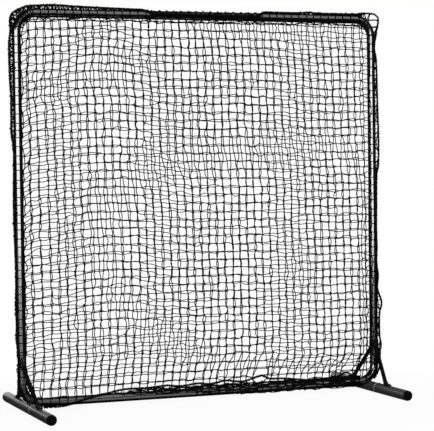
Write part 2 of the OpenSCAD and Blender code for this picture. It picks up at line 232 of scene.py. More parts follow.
def new_group(
    name: str, inputs: dict[str, float], outputs: dict[str, str]
) -> tuple[Shader, bpy.types.NodeInputs]:
    """Starts a shader node group with its sockets.

    Args:
        name: Name of the group.
        inputs: Float inputs with their default values.
        outputs: Output names with their socket types.

    Returns:
        The group's shader helper and the sockets of its inputs.
    """
    tree = bpy.data.node_groups.new(name, "ShaderNodeTree")
    for key, value in inputs.items():
        made = tree.interface.new_socket(name=key, in_out="INPUT", socket_type="NodeSocketFloat")
        made.default_value = value
    for key, kind in outputs.items():
        tree.interface.new_socket(name=key, in_out="OUTPUT", socket_type=kind)
    shader = Shader(tree)
    return shader, shader.add("NodeGroupInput").outputs


def grain_group() -> bpy.types.NodeTree:
    """Two sizes of noise on Object coordinates: a bumped normal and a slow mask.

    Returns:
        The group, with outputs Normal, Fine and Patch.
    """
    shader, given = new_group(
        "surface_grain",
        {"Scale": 300.0, "Height": 0.2, "Patches": 9.0},
        {"Normal": "NodeSocketVector", "Fine": "NodeSocketFloat", "Patch": "NodeSocketFloat"},
    )
    where = shader.add("ShaderNodeTexCoord").outputs["Object"]
    fine = shader.cloud(where, given["Scale"], detail=3.0)
    slow = shader.cloud(where, given["Patches"], detail=4.0)
    normal = shader.bump(given["Height"], 0.6 * MM, fine)
    shader.add("NodeGroupOutput", {"Normal": normal, "Fine": fine, "Patch": slow})
    return shader.tree


def twist_group() -> bpy.types.NodeTree:
    """Slanting yarns on a twine that runs along X or Z: a bumped normal and a groove mask.

    Returns:
        The group, with outputs Normal and Groove.
    """
    slant, fuzz_scale = 0.8, 2500.0
    shader, given = new_group(
        "twisted_yarn",
        {"Pitch": 500.0, "Height": 0.6},
        {"Normal": "NodeSocketVector", "Groove": "NodeSocketFloat"},
    )
    where = shader.add("ShaderNodeTexCoord").outputs["Object"]
    part = shader.add("ShaderNodeSeparateXYZ", {"Vector": where})
    across = shader.math("ADD", part.outputs["X"], part.outputs["Z"])
    lean = shader.math("ADD", across, shader.math("MULTIPLY", part.outputs["Y"], slant))
    wave = shader.math("SINE", shader.math("MULTIPLY", lean, given["Pitch"]))
    height = shader.math("ADD", wave, shader.cloud(where, fuzz_scale, detail=2.0))
    normal = shader.bump(given["Height"], 0.4 * MM, height)
    groove = shader.math("MULTIPLY", shader.math("ADD", wave, 1.0), 0.5)
    shader.add("NodeGroupOutput", {"Normal": normal, "Groove": groove})
    return shader.tree


@dataclass(frozen=True)
class Finish:
    """A finish of two shades that a mask mixes; each kind adds its own marks."""

    name: str
    base: Colour
    worn: Colour
    roughness: float

    def sizes(self) -> dict[str, float]:
        """Gives the inputs of the shared group that marks the surface."""
        return {}

    def mask(self, shader: Shader, marks: bpy.types.NodeOutputs) -> Socket:
        """Gives the share of the second shade."""
        return marks["Patch"]

    def inputs(self, shader: Shader, marks: bpy.types.NodeOutputs) -> dict[str, object]:
        """Gives the surface's own inputs."""
        return {}

    def gloss(self, shader: Shader, mark: Socket, spread: tuple[float, ...]) -> Socket:
        """Varies the roughness with a mark, from a low to a high value of the mark."""
        low, high, less, more = spread
        return shader.remap(mark, low, high, self.roughness * less, self.roughness * more)

    def build(self, group: bpy.types.NodeTree) -> bpy.types.Material:
        """Makes the material.

        Args:
            group: The shared group that marks the surface.

        Returns:
            The finished material.
        """
        material, shader = new_material(self.name)
        marks = shader.add("ShaderNodeGroup", self.sizes(), node_tree=group).outputs
        # inputs 6 and 7 and output 2 of a Mix node are its colours
        shades = {0: self.mask(shader, marks), 6: (*self.base, 1.0), 7: (*self.worn, 1.0)}
        colour = shader.add("ShaderNodeMix", shades, data_type="RGBA").outputs[2]
        common = {"Base Color": colour, "Roughness": self.roughness, "Normal": marks["Normal"]}
        values = {**common, **self.inputs(shader, marks)}
        surface = shader.add("ShaderNodeBsdfPrincipled", values)
        shader.add("ShaderNodeOutputMaterial", {"Surface": surface.outputs["BSDF"]})
        return material


@dataclass(frozen=True)
class PowderCoat(Finish):
    """A baked powder coat: orange peel, slow changes of gloss and a few dull scuffs."""

    coat: float
    shine: float
    peel: float = 0.1
    peel_scale: float = 420.0
    patches: float = 7.0
    scuffs: tuple[float, float] = (0.58, 0.74)
    dulling: tuple[float, float, float, float] = (0.3, 0.75, 0.85, 1.35)
    coat_share: float = 0.7
    coat_ior: float = 1.6

    def sizes(self) -> dict[str, float]:
        """Gives the size of the orange peel and of the slow patches."""
        return {"Scale": self.peel_scale, "Height": self.peel, "Patches": self.patches}

    def mask(self, shader: Shader, marks: bpy.types.NodeOutputs) -> Socket:
        """Keeps the second shade to the scuffs."""
        return shader.remap(marks["Patch"], *self.scuffs)

    def inputs(self, shader: Shader, marks: bpy.types.NodeOutputs) -> dict[str, object]:
        """Varies the gloss and lays the clear coat.

        Args:
            shader: The material's helper.
            marks: The shared group's outputs.

        Returns:
            The surface's own inputs.
        """
        return {
            "Roughness": self.gloss(shader, marks["Patch"], self.dulling),
            "Specular IOR Level": self.shine,
            "Coat Weight": self.coat,
            "Coat Roughness": self.roughness * self.coat_share,
            "Coat IOR": self.coat_ior,
        }


@dataclass(frozen=True)
class PlatedSteel(Finish):
    """Plated or bare steel with a faint spangle and rubbed patches."""

    metal: float = 1.0
    spangle: float = 0.12
    spangle_scale: float = 900.0
    patches: float = 160.0
    rubbing: tuple[float, float, float, float] = (0.3, 0.7, 0.8, 1.3)

    def sizes(self) -> dict[str, float]:
        """Gives the size of the spangle and of the rubbed patches."""
        return {"Scale": self.spangle_scale, "Height": self.spangle, "Patches": self.patches}

    def inputs(self, shader: Shader, marks: bpy.types.NodeOutputs) -> dict[str, object]:
        """Makes the surface metal and varies its gloss."""
        gloss = self.gloss(shader, marks["Fine"], self.rubbing)
        return {"Metallic": self.metal, "Roughness": gloss}


@dataclass(frozen=True)
class MouldedPlastic(Finish):
    """Moulded plastic with a fine spark-eroded grain."""

    grit: float = 0.35
    grit_scale: float = 1400.0
    patches: float = 60.0
    shine: float = 0.03

    def sizes(self) -> dict[str, float]:
        """Gives the size of the grain and of the slow patches."""
        return {"Scale": self.grit_scale, "Height": self.grit, "Patches": self.patches}

    def inputs(self, shader: Shader, marks: bpy.types.NodeOutputs) -> dict[str, object]:
        """Keeps the shine low."""
        return {"Specular IOR Level": self.shine}


@dataclass(frozen=True)
class Twine(Finish):
    """Twisted black twine with a slight fuzz."""

    pitch: float
    shine: float = 0.06
    fading: float = 6.0

    def sizes(self) -> dict[str, float]:
        """Gives the yarns' pitch."""
        return {"Pitch": self.pitch}

    def mask(self, shader: Shader, marks: bpy.types.NodeOutputs) -> Socket:
        """Gives the twist's raised ridges the second shade in slow patches; the grooves keep the first."""
        where = shader.add("ShaderNodeTexCoord").outputs["Object"]
        return shader.math("MULTIPLY", shader.cloud(where, self.fading, detail=3.0), marks["Groove"])

    def inputs(self, shader: Shader, marks: bpy.types.NodeOutputs) -> dict[str, object]:
        """Keeps the shine low."""
        return {"Specular IOR Level": self.shine}


class Palette:
    """Every finish of the object: one for each slot, and two that single parts take."""

    def __init__(self) -> None:
        """Makes all the materials."""
        grain = grain_group()
        twist = twist_group()
        self.satin = PowderCoat(
            "satin_black_coat", (0.002, 0.002, 0.0022), (0.006, 0.006, 0.0065), 0.5, 0.05, 0.12
        ).build(grain)
        # Front hub lips: bare steel rubbed bright, in a light grey that is only partly metal so that it
        # paints the ring's highlight.
        self.bare = PlatedSteel(
            "bare_lip", (0.62, 0.62, 0.63), (0.42, 0.42, 0.43), 0.4, 0.3
        ).build(grain)
        self.finishes = {
            Slot.FRAME: PowderCoat(
                "gloss_black_coat", (0.003, 0.003, 0.0033), (0.008, 0.008, 0.0085), 0.15, 1.0, 0.9
            ).build(grain),
            Slot.FOOT: PowderCoat(
                "satin_grey_coat", (0.058, 0.058, 0.059), (0.070, 0.070, 0.071), 0.38, 0.2, 0.5, 0.15
            ).build(grain),
            Slot.PLUG: MouldedPlastic(
                "black_polyethylene", (0.0015, 0.0015, 0.0015), (0.004, 0.004, 0.004), 0.6
            ).build(grain),
            Slot.STEEL: PlatedSteel(
                "black_oxide", (0.05, 0.05, 0.053), (0.025, 0.025, 0.027), 0.36
            ).build(grain),
            Slot.SPRING: PlatedSteel(
                "spring_strip", (0.34, 0.34, 0.37), (0.2, 0.21, 0.26), 0.3
            ).build(grain),
            Slot.NET: Twine(
                "net_twine", (0.0015, 0.0015, 0.0016), (0.006, 0.006, 0.0065), 0.7, 3200.0
            ).build(twist),
            Slot.ROPE: Twine(
                "rope_strand", (0.0015, 0.0015, 0.0016), (0.008, 0.008, 0.0085), 0.65, 2100.0
            ).build(twist),
        }


# ---------------------------------------------------------------- pieces


def add_piece(
    name: str, mesh: bpy.types.Mesh, palette: Palette, slot: Slot, replaced: tuple[str, ...] = ()
) -> bpy.types.Object:
    """Adds a finished mesh as a piece that rides on the frame.

    Args:
        name: Name of the piece.
        mesh: Its mesh, in place.
        palette: The finishes.
        slot: The slot whose finish it takes.
        replaced: CAD nodes that it stands for.

    Returns:
        The new object.
    """
    piece = bpy.data.objects.new(name, mesh)
    mesh.name = name
    mesh.materials.clear()
    mesh.materials.append(palette.finishes[slot])
    bpy.context.scene.collection.objects.link(piece)
    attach(piece, BODY)
    if replaced:
        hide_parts(*replaced)
    LOG.info("%s: %d faces", name, len(mesh.polygons))
    return piece


def bmesh_to_mesh(bm: bmesh.types.BMesh, name: str, smooth: bool = True) -> bpy.types.Mesh:
    """Turns a bmesh into a mesh and frees it.

    Args:
        bm: The shape.
        name: Name of the mesh.
        smooth: True for smooth shading, False for flat.

    Returns:
        The mesh.
    """
    for face in bm.faces:
        face.smooth = smooth
    mesh = bpy.data.meshes.new(name)
    bm.to_mesh(mesh)
    bm.free()
    return mesh


def swept_mesh(
    name: str,
    paths: list[list[Vector]],
    radius: float,
    resolution: int = 1,
    closed: bool = False,
    swell: tuple[float, ...] = (),
) -> bpy.types.Mesh:
    """Sweeps a round section along polylines and returns one closed mesh.

    Args:
        name: Name of the mesh.
        paths: The polylines.
        radius: Radius of the section.
        resolution: Bevel resolution of the section.
        closed: True where each path is a loop.
        swell: Factors on the radius, repeated along each path.

    Returns:
        The mesh.
    """
    curve = bpy.data.curves.new(name, "CURVE")
    curve.dimensions = "3D"
    curve.bevel_depth = radius
    curve.bevel_resolution = resolution
    curve.use_fill_caps = not closed
    for path in paths:
        spline = curve.splines.new("POLY")
        spline.points.add(len(path) - 1)
        spline.points.foreach_set("co", [c for p in path for c in (*p, 1.0)])
        spline.use_cyclic_u = closed
        if swell:
            spline.points.foreach_set("radius", [swell[i % len(swell)] for i in range(len(path))])
    holder = bpy.data.objects.new(name, curve)
    bpy.context.scene.collection.objects.link(holder)
    depsgraph = bpy.context.evaluated_depsgraph_get()
    mesh = bpy.data.meshes.new_from_object(holder.evaluated_get(depsgraph))
    bpy.data.objects.remove(holder)
    bpy.data.curves.remove(curve)
    bm = bmesh.new()
    bm.from_mesh(mesh)
    bmesh.ops.remove_doubles(bm, verts=bm.verts, dist=SAME_PLACE)
    bpy.data.meshes.remove(mesh)
    return bmesh_to_mesh(bm, name)


def ring_template(name: str, major: float, minor: float, steps: int, sides: int) -> bpy.types.Mesh:
    """Makes a small ring round the Z axis by a full spin of a circle.

    Args:
        name: Name of the mesh.
        major: Radius of the ring's centre line.
        minor: Radius of its section.
        steps: Faces round the ring.
        sides: Faces round its section.

    Returns:
        The mesh.
    """
    bm = bmesh.new()
    made = bmesh.ops.create_circle(bm, segments=sides, radius=minor)
    turn = Matrix.Translation((major, 0, 0)) @ Matrix.Rotation(math.pi / 2, 4, "X")
    bmesh.ops.transform(bm, matrix=turn, verts=made["verts"])
    bmesh.ops.spin(
        bm,
        geom=bm.verts[:] + bm.edges[:],
        axis=(0, 0, 1),
        cent=(0, 0, 0),
        angle=2 * math.pi,
        steps=steps,
        use_merge=True,
    )
    bmesh.ops.remove_doubles(bm, verts=bm.verts, dist=SAME_PLACE)
    bmesh.ops.recalc_face_normals(bm, faces=bm.faces)
    return bmesh_to_mesh(bm, name)


def stamped(name: str, template: bpy.types.Mesh, places: list[Matrix]) -> bpy.types.Mesh:
    """Copies a small template to many places in one mesh.

    Args:
        name: Name of the mesh.
        template: The shape to repeat.
        places: A matrix for each copy.

    Returns:
        The joined mesh.
    """
    bm = bmesh.new()
    for place in places:
        template.transform(place)
        bm.from_mesh(template)
        template.transform(place.inverted())
    mesh = bpy.data.meshes.new(name)
    bm.to_mesh(mesh)
    bm.free()
    return mesh


def facing(where: Vector, axis: Vector) -> Matrix:
    """A matrix that puts a template at a place with its Z along an axis."""
    return Matrix.Translation(where) @ axis.to_track_quat("Z", "Y").to_matrix().to_4x4()


def geometry_group(name: str) -> tuple[Shader, Socket]:
    """Starts a geometry node group that first welds the loose triangles.

    Args:
        name: Name of the group.

    Returns:
        The group's helper and its welded geometry.
    """
    tree = bpy.data.node_groups.new(name, "GeometryNodeTree")
    for way in ("INPUT", "OUTPUT"):
        tree.interface.new_socket(name="Geometry", in_out=way, socket_type="NodeSocketGeometry")
    shader = Shader(tree)
    given = shader.add("NodeGroupInput").outputs[0]
    weld = shader.add("GeometryNodeMergeByDistance", {"Geometry": given, "Distance": WELD_REACH})
    return shader, weld.outputs[0]


def smooth_shading(crease_degrees: float = 28.0) -> bpy.types.NodeTree:
    """Shades curved faces smooth and keeps creases sharp.

    Args:
        crease_degrees: The angle past which an edge is a crease.

    Returns:
        The geometry node group.
    """
    shader, welded = geometry_group("even_shading")
    even = shader.add("GeometryNodeSetShadeSmooth", {"Geometry": welded, "Shade Smooth": True})
    angle = shader.add("GeometryNodeInputMeshEdgeAngle").outputs["Unsigned Angle"]
    steep = shader.add(
        "FunctionNodeCompare",
        {0: angle, 1: math.radians(crease_degrees)},
        data_type="FLOAT",
        operation="GREATER_THAN",
    )
    crease = shader.add(
        "GeometryNodeSetShadeSmooth",
        {"Geometry": even.outputs[0], "Selection": steep.outputs[0], "Shade Smooth": False},
        domain="EDGE",
    )
    shader.add("NodeGroupOutput", {0: crease.outputs[0]})
    return shader.tree


def modify(tree: bpy.types.NodeTree, *nodes: str) -> None:
    """Puts a geometry node group on CAD nodes as a modifier."""
    for node in nodes:
        frame["nodes"][node].modifiers.new(tree.name, "NODES").node_group = tree


# ---------------------------------------------------------------- frame shape


@dataclass(frozen=True)
class FrameShape:
    """The centreline of the tube frame: a square with rounded corners, in the XZ plane."""

    post_x: float = 1.04285
    rail_z: float = 0.05515
    top_z: float = 2.14085
    middle_z: float = 1.0
    bend_r: float = 0.100
    bend_use: float = 0.98
    tube_r: float = 0.02415
    foot_x: float = 1.01185
    foot_r: float = 0.028575
    rail_button_x: float = 0.625

    @property
    def bend_x(self) -> float:
        """How far out the bends' centres are."""
        return self.post_x - self.bend_r

    @property
    def high_bend_z(self) -> float:
        """Height of the top bends' centres."""
        return self.top_z - self.bend_r

    @property
    def low_bend_z(self) -> float:
        """Height of the bottom bends' centres."""
        return self.rail_z + self.bend_r

    def inside(self, x: float, z: float) -> bool:
        """Tells whether a point of the net's plane lies inside the centreline.

        Args:
            x: The point's x.
            z: The point's height.

        Returns:
            True for a point inside.
        """
        if abs(x) >= self.post_x or not self.rail_z < z < self.top_z:
            return False
        dx = abs(x) - self.bend_x
        dz = max(z - self.high_bend_z, self.low_bend_z - z)
        return dx <= 0 or dz <= 0 or math.hypot(dx, dz) < self.bend_r

    def cross_sideways(self, z: float, side: Side) -> tuple[Vector, Vector]:
        """Finds where a row of the net meets the centreline.

        Args:
            z: Height of the row.
            side: The side on which it does.

        Returns:
            The place and the outward normal there.
        """
        limit = self.bend_use * self.bend_r
        dz = max(z - self.high_bend_z, 0.0) - max(self.low_bend_z - z, 0.0)
        dz = max(-limit, min(limit, dz))
        if dz == 0:
            return Vector((side.value * self.post_x, 0, z)), Vector((side.value, 0, 0))
        reach = math.sqrt(self.bend_r**2 - dz**2)
        centre_z = self.high_bend_z if dz > 0 else self.low_bend_z
        spot = Vector((side.value * (self.bend_x + reach), 0, centre_z + dz))
        return spot, Vector((side.value * reach, 0, dz)).normalized()

    def cross_upright(self, x: float, level: Level) -> tuple[Vector, Vector]:
        """Finds where a column of the net meets the centreline.

        Args:
            x: The column's x.
            level: The rail at which it does.

        Returns:
            The place and the outward normal there.
        """
        dx = min(self.bend_use * self.bend_r, max(abs(x) - self.bend_x, 0.0))
        rise = math.sqrt(self.bend_r**2 - dx**2)
        centre_z = self.high_bend_z if level is Level.TOP else self.low_bend_z
        spot = Vector((x, 0, centre_z + level.value * rise))
        return spot, Vector((math.copysign(dx, x), 0, level.value * rise)).normalized()

    def beside(self, place: Vector) -> tuple[Vector, Vector]:
        """Finds the point of the centreline beside a place outside the frame.

        Args:
            place: The place.

        Returns:
            The point and the outward normal there.
        """
        x = max(-self.bend_x, min(self.bend_x, place.x))
        z = max(self.low_bend_z, min(self.high_bend_z, place.z))
        out = Vector((place.x - x, 0, place.z - z))
        if out.length < self.bend_r / 2:
            out = Vector((0, 0, 1 if place.z > self.middle_z else -1))
        normal = out.normalized()
        return Vector((x, 0, z)) + normal * self.bend_r, normal

    def rail_buttons(self, half: float) -> list[tuple[float, float]]:
        """The stretches of a rail taken by its buttons, as middles and half widths."""
        return [(-self.rail_button_x, half), (self.rail_button_x, half)]


# ---------------------------------------------------------------- ropes

SHAPE = FrameShape()
LIE = 0.02865  # how far from a tube's axis a rope on it lies


def beside(side: Side, out: float, y: float, z: float) -> Point:
    """A point of a rope beside an upright, in millimetres off its axis."""
    return (side.value * (SHAPE.post_x + out * MM), y * MM, z * MM)


def about(x: float, level_z: float, degrees: float, out: float = LIE) -> Point:
    """A point of a rope on a rail: degrees up from its front."""
    turn = math.radians(degrees)
    return (x * MM, -out * math.cos(turn), level_z + out * math.sin(turn))


def on_top(x: float, degrees: float, out: float = LIE) -> Point:
    """A point of the border rope on the top rail."""
    return about(x, SHAPE.top_z, degrees, out)


def on_foot(x: float, degrees: float, out: float = LIE) -> Point:
    """A point of the hem rope on the bottom rail."""
    return about(x, SHAPE.rail_z, degrees, out)


def free(x: float, y: float, z: float) -> Point:
    """A point of a rope in the open, from millimetres."""
    return (x * MM, y * MM, z * MM)


def border_points() -> list[Point]:
    """Lists the border rope's route, up the left side, along the top and down the right side.

    Returns:
        The points that the rope passes.
    """
    left, right = Side.LEFT, Side.RIGHT
    up = [
        (22.5, -18, 165), (22.5, -18, 215), (23, -18, 325), (30, -8, 410), (27, -13, 470), (29, -5, 590),
        (26.5, -12, 700), (27.5, -10, 870), (29, 0, 1100), (26.5, -12, 1400), (36, -4, 1500), (35, -8, 1690),
        (41, -12, 1780), (45, -20, 1960), (33, -8, 2042), (33, 0, 2085), (28, 0, 2121), (11, 0, 2142),
    ]
    across = [free(-1016, 0, 2162), free(-983, 0, 2175), free(-920, 0, 2180), free(-835, 0, 2184)]
    across += [free(-690, 0, 2178), free(-440, 0, 2171)]
    rail = [
        (-360, 90), (-345, 78), (-332, 64), (-320, 50), (-307, 36), (-292, 22), (-270, 8), (30, 5), (325, 8),
        (340, 22), (352, 36), (362, 50), (372, 64), (384, 78), (400, 90), (585, 85),
    ]
    across += [on_top(x, deg) for x, deg in rail]
    across += [on_top(662, 88, 0.033), on_top(722, 88), on_top(945, 90)]
    across += [free(985, -4, 2175), free(1030, -8, 2175), free(1058, -12, 2172), free(1077, -12, 2161)]
    down = [
        (45, -12, 2140), (33, -8, 2062), (27.5, 8, 1980), (34, 0, 1915), (37, 0, 1825), (41, 0, 1600),
        (44.5, 0, 1440), (41, 0, 1300), (30, 0, 1240), (28, 6, 1000), (27, 10, 770), (32, 0, 667),
        (28.5, 4, 592), (45, -12, 520), (43, -12, 484), (36, -4, 445), (37, 0, 320), (46, 0, 266),
        (39, 0, 220), (35, 0, 138), (14, 0, 88), (-3, 0, 68),
    ]
    return [beside(left, *p) for p in up] + across + [beside(right, *p) for p in down]


def hem_points() -> list[Point]:
    """Lists the hem rope's route along the bottom rail, from left to right.

    Returns:
        The points that the rope passes.
    """
    rail = [
        (-925, -90), (-870, -88), (-840, -75), (-818, -61), (-798, -47), (-776, -33), (-752, -19), (-728, -5),
        (-704, 8), (-680, 21), (-656, 34), (-630, 46), (-602, 57),
    ]
    points = [on_foot(x, deg) for x, deg in rail] + [on_foot(-565, 68, 0.030)]
    loose = [
        (-515, -6, 92), (-463, -6, 98), (-383, -5, 97), (-308, -6, 98), (-226, -4, 103), (-147, -6, 95),
        (-44, -4, 104), (27, -6, 97), (117, -4, 110), (175, -5, 103), (231, -5, 100), (304, -4, 119),
        (341, -4, 125), (384, -5, 106), (469, -5, 102), (550, -6, 92),
    ]
    points += [free(*p) for p in loose]
    points += [on_foot(620, 76, 0.030), on_foot(700, 80), on_foot(775, 84)]
    points += [free(820, -3, 98), free(857, -4, 113), free(893, -3, 100), on_foot(938, 86, 0.030)]
    return points


def smooth_line(points: list[Vector], step: float) -> list[Vector]:
    """Lays a smooth line through points.

    Args:
        points: The points, in order.
        step: Longest distance between the line's own points.

    Returns:
        The line's points, with the same ends.
    """
    pts = [points[0] * 2 - points[1], *points, points[-1] * 2 - points[-2]]
    line: list[Vector] = []
    for a, b, c, d in zip(pts, pts[1:], pts[2:], pts[3:]):
        count = max(2, math.ceil((c - b).length / step))
        for k in range(count):
            t = k / count
            bend, twist = 2 * a - 5 * b + 4 * c - d, 3 * b - a - 3 * c + d
            line.append(0.5 * (2 * b + (c - a) * t + bend * t * t + twist * t**3))
    line.append(points[-1].copy())
    return line


def even_steps(points: list[Vector], step: float) -> list[Vector]:
    """Resamples a polyline at an even step.

    Args:
        points: The polyline.
        step: Distance between new points, fitted to the whole length.

    Returns:
        The new polyline, with the same ends.
    """
    reach = [0.0]
    for a, b in zip(points, points[1:]):
        reach.append(reach[-1] + (b - a).length)
    count = max(1, round(reach[-1] / step))
    out: list[Vector] = []
    k = 0
    for n in range(count + 1):
        s = reach[-1] * n / count
        while k < len(reach) - 2 and reach[k + 1] < s:
            k += 1
        t = (s - reach[k]) / max(reach[k + 1] - reach[k], 1e-12)
        out.append(points[k].lerp(points[k + 1], min(t, 1.0)))
    return out


def square_frames(line: list[Vector]) -> Iterator[tuple[Vector, Vector, Vector]]:
    """Walks along a line.

    Args:
        line: The line's points.

    Yields:
        Each point with two directions square to the line there.
    """
    last = len(line) - 1
    for i, centre in enumerate(line):
        ahead = (line[min(i + 1, last)] - line[max(i - 1, 0)]).normalized()
        u = ahead.cross(Vector((0, 1, 0))).normalized()
        yield centre, u, ahead.cross(u)


@dataclass
class LaidRope:
    """A three-strand laid rope along a route, with the lacing twines wound round it."""

    name: str
    node: str
    points: list[Point]
    diameter: float = 0.008
    strands: int = 3
    strand_share: float = 0.54
    lay: float = 0.030
    steps: int = 9
    whip_turns: int = 5
    whip_out: float = 0.0002
    whip_r: float = 0.0009
    lashings: int = 3
    lash_lay: float = 0.0250
    lash_r: float = 0.0016
    lash_turn: int = 8
    lash_out: float = 1.35
    lash_lift: float = 0.5
    lash_slip: float = 0.35
    lash_sway: Point = (0.045, 9.0, 2.0)
    lash_snug: float = 0.45
    lash_snug_x: float = 1.0
    line: list[Vector] = field(default_factory=list)

    def __post_init__(self) -> None:
        """Lays one smooth line through the route's points, at even steps."""
        dense = smooth_line([Vector(p) for p in self.points], 2 * MM)
        self.line = even_steps(dense, self.lay / self.steps)

    def nearest(self, spot: Vector) -> tuple[Vector, Vector]:
        """Finds the point of the rope nearest to a spot.

        Args:
            spot: The spot.

        Returns:
            The point and the rope's direction there.
        """
        best = min(range(len(self.line)), key=lambda i: (self.line[i] - spot).length_squared)
        low, high = max(best - 1, 0), min(best + 1, len(self.line) - 1)
        return self.line[best].copy(), (self.line[high] - self.line[low]).normalized()

    def build(self, palette: Palette) -> None:
        """Makes the strands, which stand for the CAD rope, the whippings and the lashings.

        Args:
            palette: The finishes.
        """
        strand_r = self.diameter / 2 * self.strand_share
        offset = self.diameter / 2 - strand_r
        paths: list[list[Vector]] = [[] for _ in range(self.strands)]
        for i, (centre, u, v) in enumerate(square_frames(self.line)):
            for k, path in enumerate(paths):
                turn = 2 * math.pi * (i / self.steps + k / self.strands)
                path.append(centre + offset * (math.cos(turn) * u + math.sin(turn) * v))
        add_piece(self.name, swept_mesh(self.name, paths, strand_r), palette, Slot.ROPE, (self.node,))
        self.whip(palette)
        self.lash(palette)

    def whip(self, palette: Palette) -> None:
        """Winds a few turns of twine round both ends.

        Args:
            palette: The finishes.
        """
        major = self.diameter / 2 + self.whip_out
        template = ring_template("whipping_turn", major, self.whip_r, steps=10, sides=5)
        last = len(self.line) - 1
        places = []
        for start, step in ((2, 1), (last - 2, -1)):
            for i in range(start, start + step * self.whip_turns, step):
                places.append(facing(self.line[i], self.line[i + 1] - self.line[i]))
        add_piece(f"{self.name}_whippings", stamped("whippings", template, places), palette, Slot.NET)

    def lash(self, palette: Palette) -> None:
        """Winds the lacing twines round the rope, a little unevenly.

        Args:
            palette: The finishes.
        """
        line = even_steps(self.line, self.lash_lay / self.lash_turn)
        paths: list[list[Vector]] = [[] for _ in range(self.lashings)]
        along, apart, row = self.lash_sway
        for i, (centre, u, v) in enumerate(square_frames(line)):
            snug = self.lash_snug if centre.x > self.lash_snug_x else 1.0
            for k, path in enumerate(paths):
                sway = noise.noise(Vector((i * along, k * apart, row)))
                out = self.diameter / 2 + self.lash_r * (self.lash_out + self.lash_lift * sway) * snug
                turn = 2 * math.pi * (i / self.lash_turn + k / self.lashings + self.lash_slip * sway)
                path.append(centre + out * (math.cos(turn) * u + math.sin(turn) * v))
        add_piece(f"{self.name}_lashings", swept_mesh("lashings", paths, self.lash_r), palette, Slot.NET)


# ---------------------------------------------------------------- net


@dataclass(frozen=True)
class SlackSpot:
    """An oval in which a layer of net hangs aside: its centre, half sizes, soft edge and shift."""

    x: float
    z: float
    reach_x: float
    reach_z: float
    edge: float
    dx: float = 0.0
    dz: float = 0.0

    def shift(self, x: float, z: float) -> tuple[float, float]:
        """Works out how far this spot moves a point of the net.

        Args:
            x: The point's x.
            z: The point's height.

        Returns:
            The move in x and in z.
        """
        far = math.hypot(x - self.x, z - self.z)
        ratio = math.hypot((x - self.x) / self.reach_x, (z - self.z) / self.reach_z)
        inward = far * (1 / ratio - 1) if ratio > SAME_PLACE else self.edge
        near = max(0.0, min(1.0, 0.5 + 0.5 * inward / self.edge))
        near *= near * (3 - 2 * near)
        return self.dx * near, self.dz * near


@dataclass(frozen=True)
class Hang:
    """How a layer hangs out of true: drifts, a lean, slack spots and a dip at the left post."""

    seed: int
    sign: int
    spots: tuple[SlackSpot, ...]
    drift: float = 0.004
    drift_scale: float = 2.1
    seed_step: float = 1.7
    drift_z: Point = (11.3, 4.1, 0.0)
    wander: float = 0.004
    wander_scale: float = 3.3
    wander_z: Point = (5.9, 2.3, 0.0)
    lean: float = 0.014
    lean_from: float = 1.9
    aside: float = 0.0128
    aside_by_x: float = 0.0031
    above: float = 0.0025
    above_by_z: float = 0.0031
    above_from: float = 1.3
    hold: float = 0.15
    dip: float = 0.034
    dip_reach: float = 0.08
    dip_low: float = 0.45
    dip_high: float = 1.05
    dip_least: float = 0.2

    def shift(self, x: float, z: float) -> tuple[float, float]:
        """Works out how far the net is pulled aside at a point of its plane.

        Args:
            x: The point's x.
            z: The point's height.

        Returns:
            The move in x and in z.
        """
        where = Vector((x * self.drift_scale, z * self.drift_scale, self.seed * self.seed_step))
        dx = self.drift * noise.noise(where)
        dz = self.drift * noise.noise(where + Vector(self.drift_z))
        dx += self.wander * noise.noise(where * self.wander_scale)
        dz += self.wander * noise.noise(where * self.wander_scale + Vector(self.wander_z))
        for spot in self.spots:
            spot_dx, spot_dz = spot.shift(x, z)
            dx += spot_dx
            dz += spot_dz
        dx += self.lean * (self.lean_from - z) + self.sign * (self.aside + self.aside_by_x * x)
        dz += self.sign * (self.above + self.above_by_z * (z - self.above_from))
        dx *= min(1.0, (SHAPE.post_x - abs(x)) / self.hold)
        dz *= max(0.0, min(1.0, (SHAPE.top_z - z) / self.hold))
        deep = max(self.dip_least, min(1.0, (z - self.dip_low) / (self.dip_high - self.dip_low)))
        dz -= self.dip * deep * math.exp(-(x + SHAPE.post_x) / self.dip_reach)
        return dx, dz


@dataclass(frozen=True)
class SkirtRow:
    """A gathered row of mesh below the hem rope, lying on the bottom rail."""

    degrees: float
    spread: float
    slack: float
    start: float


SKIRT = (
    SkirtRow(104, 8, 0.0060, -0.28),
    SkirtRow(84, 9, 0.0055, -0.46),
    SkirtRow(64, 9, 0.0045, -0.56),
    SkirtRow(44, 9, 0.0035, -0.52),
    SkirtRow(22, 10, 0.0035, -0.30),
    SkirtRow(0, 10, 0.0035, -0.10),
    SkirtRow(-24, 10, 0.0030, 0.02),
    SkirtRow(-50, 9, 0.0020, 0.20),
)


# Heights on a post that rows keep off, with half widths: two buttons and the braces' ends.
POST_FITTINGS = [(0.473, 0.009), (1.723, 0.009), (0.280, 0.036)]


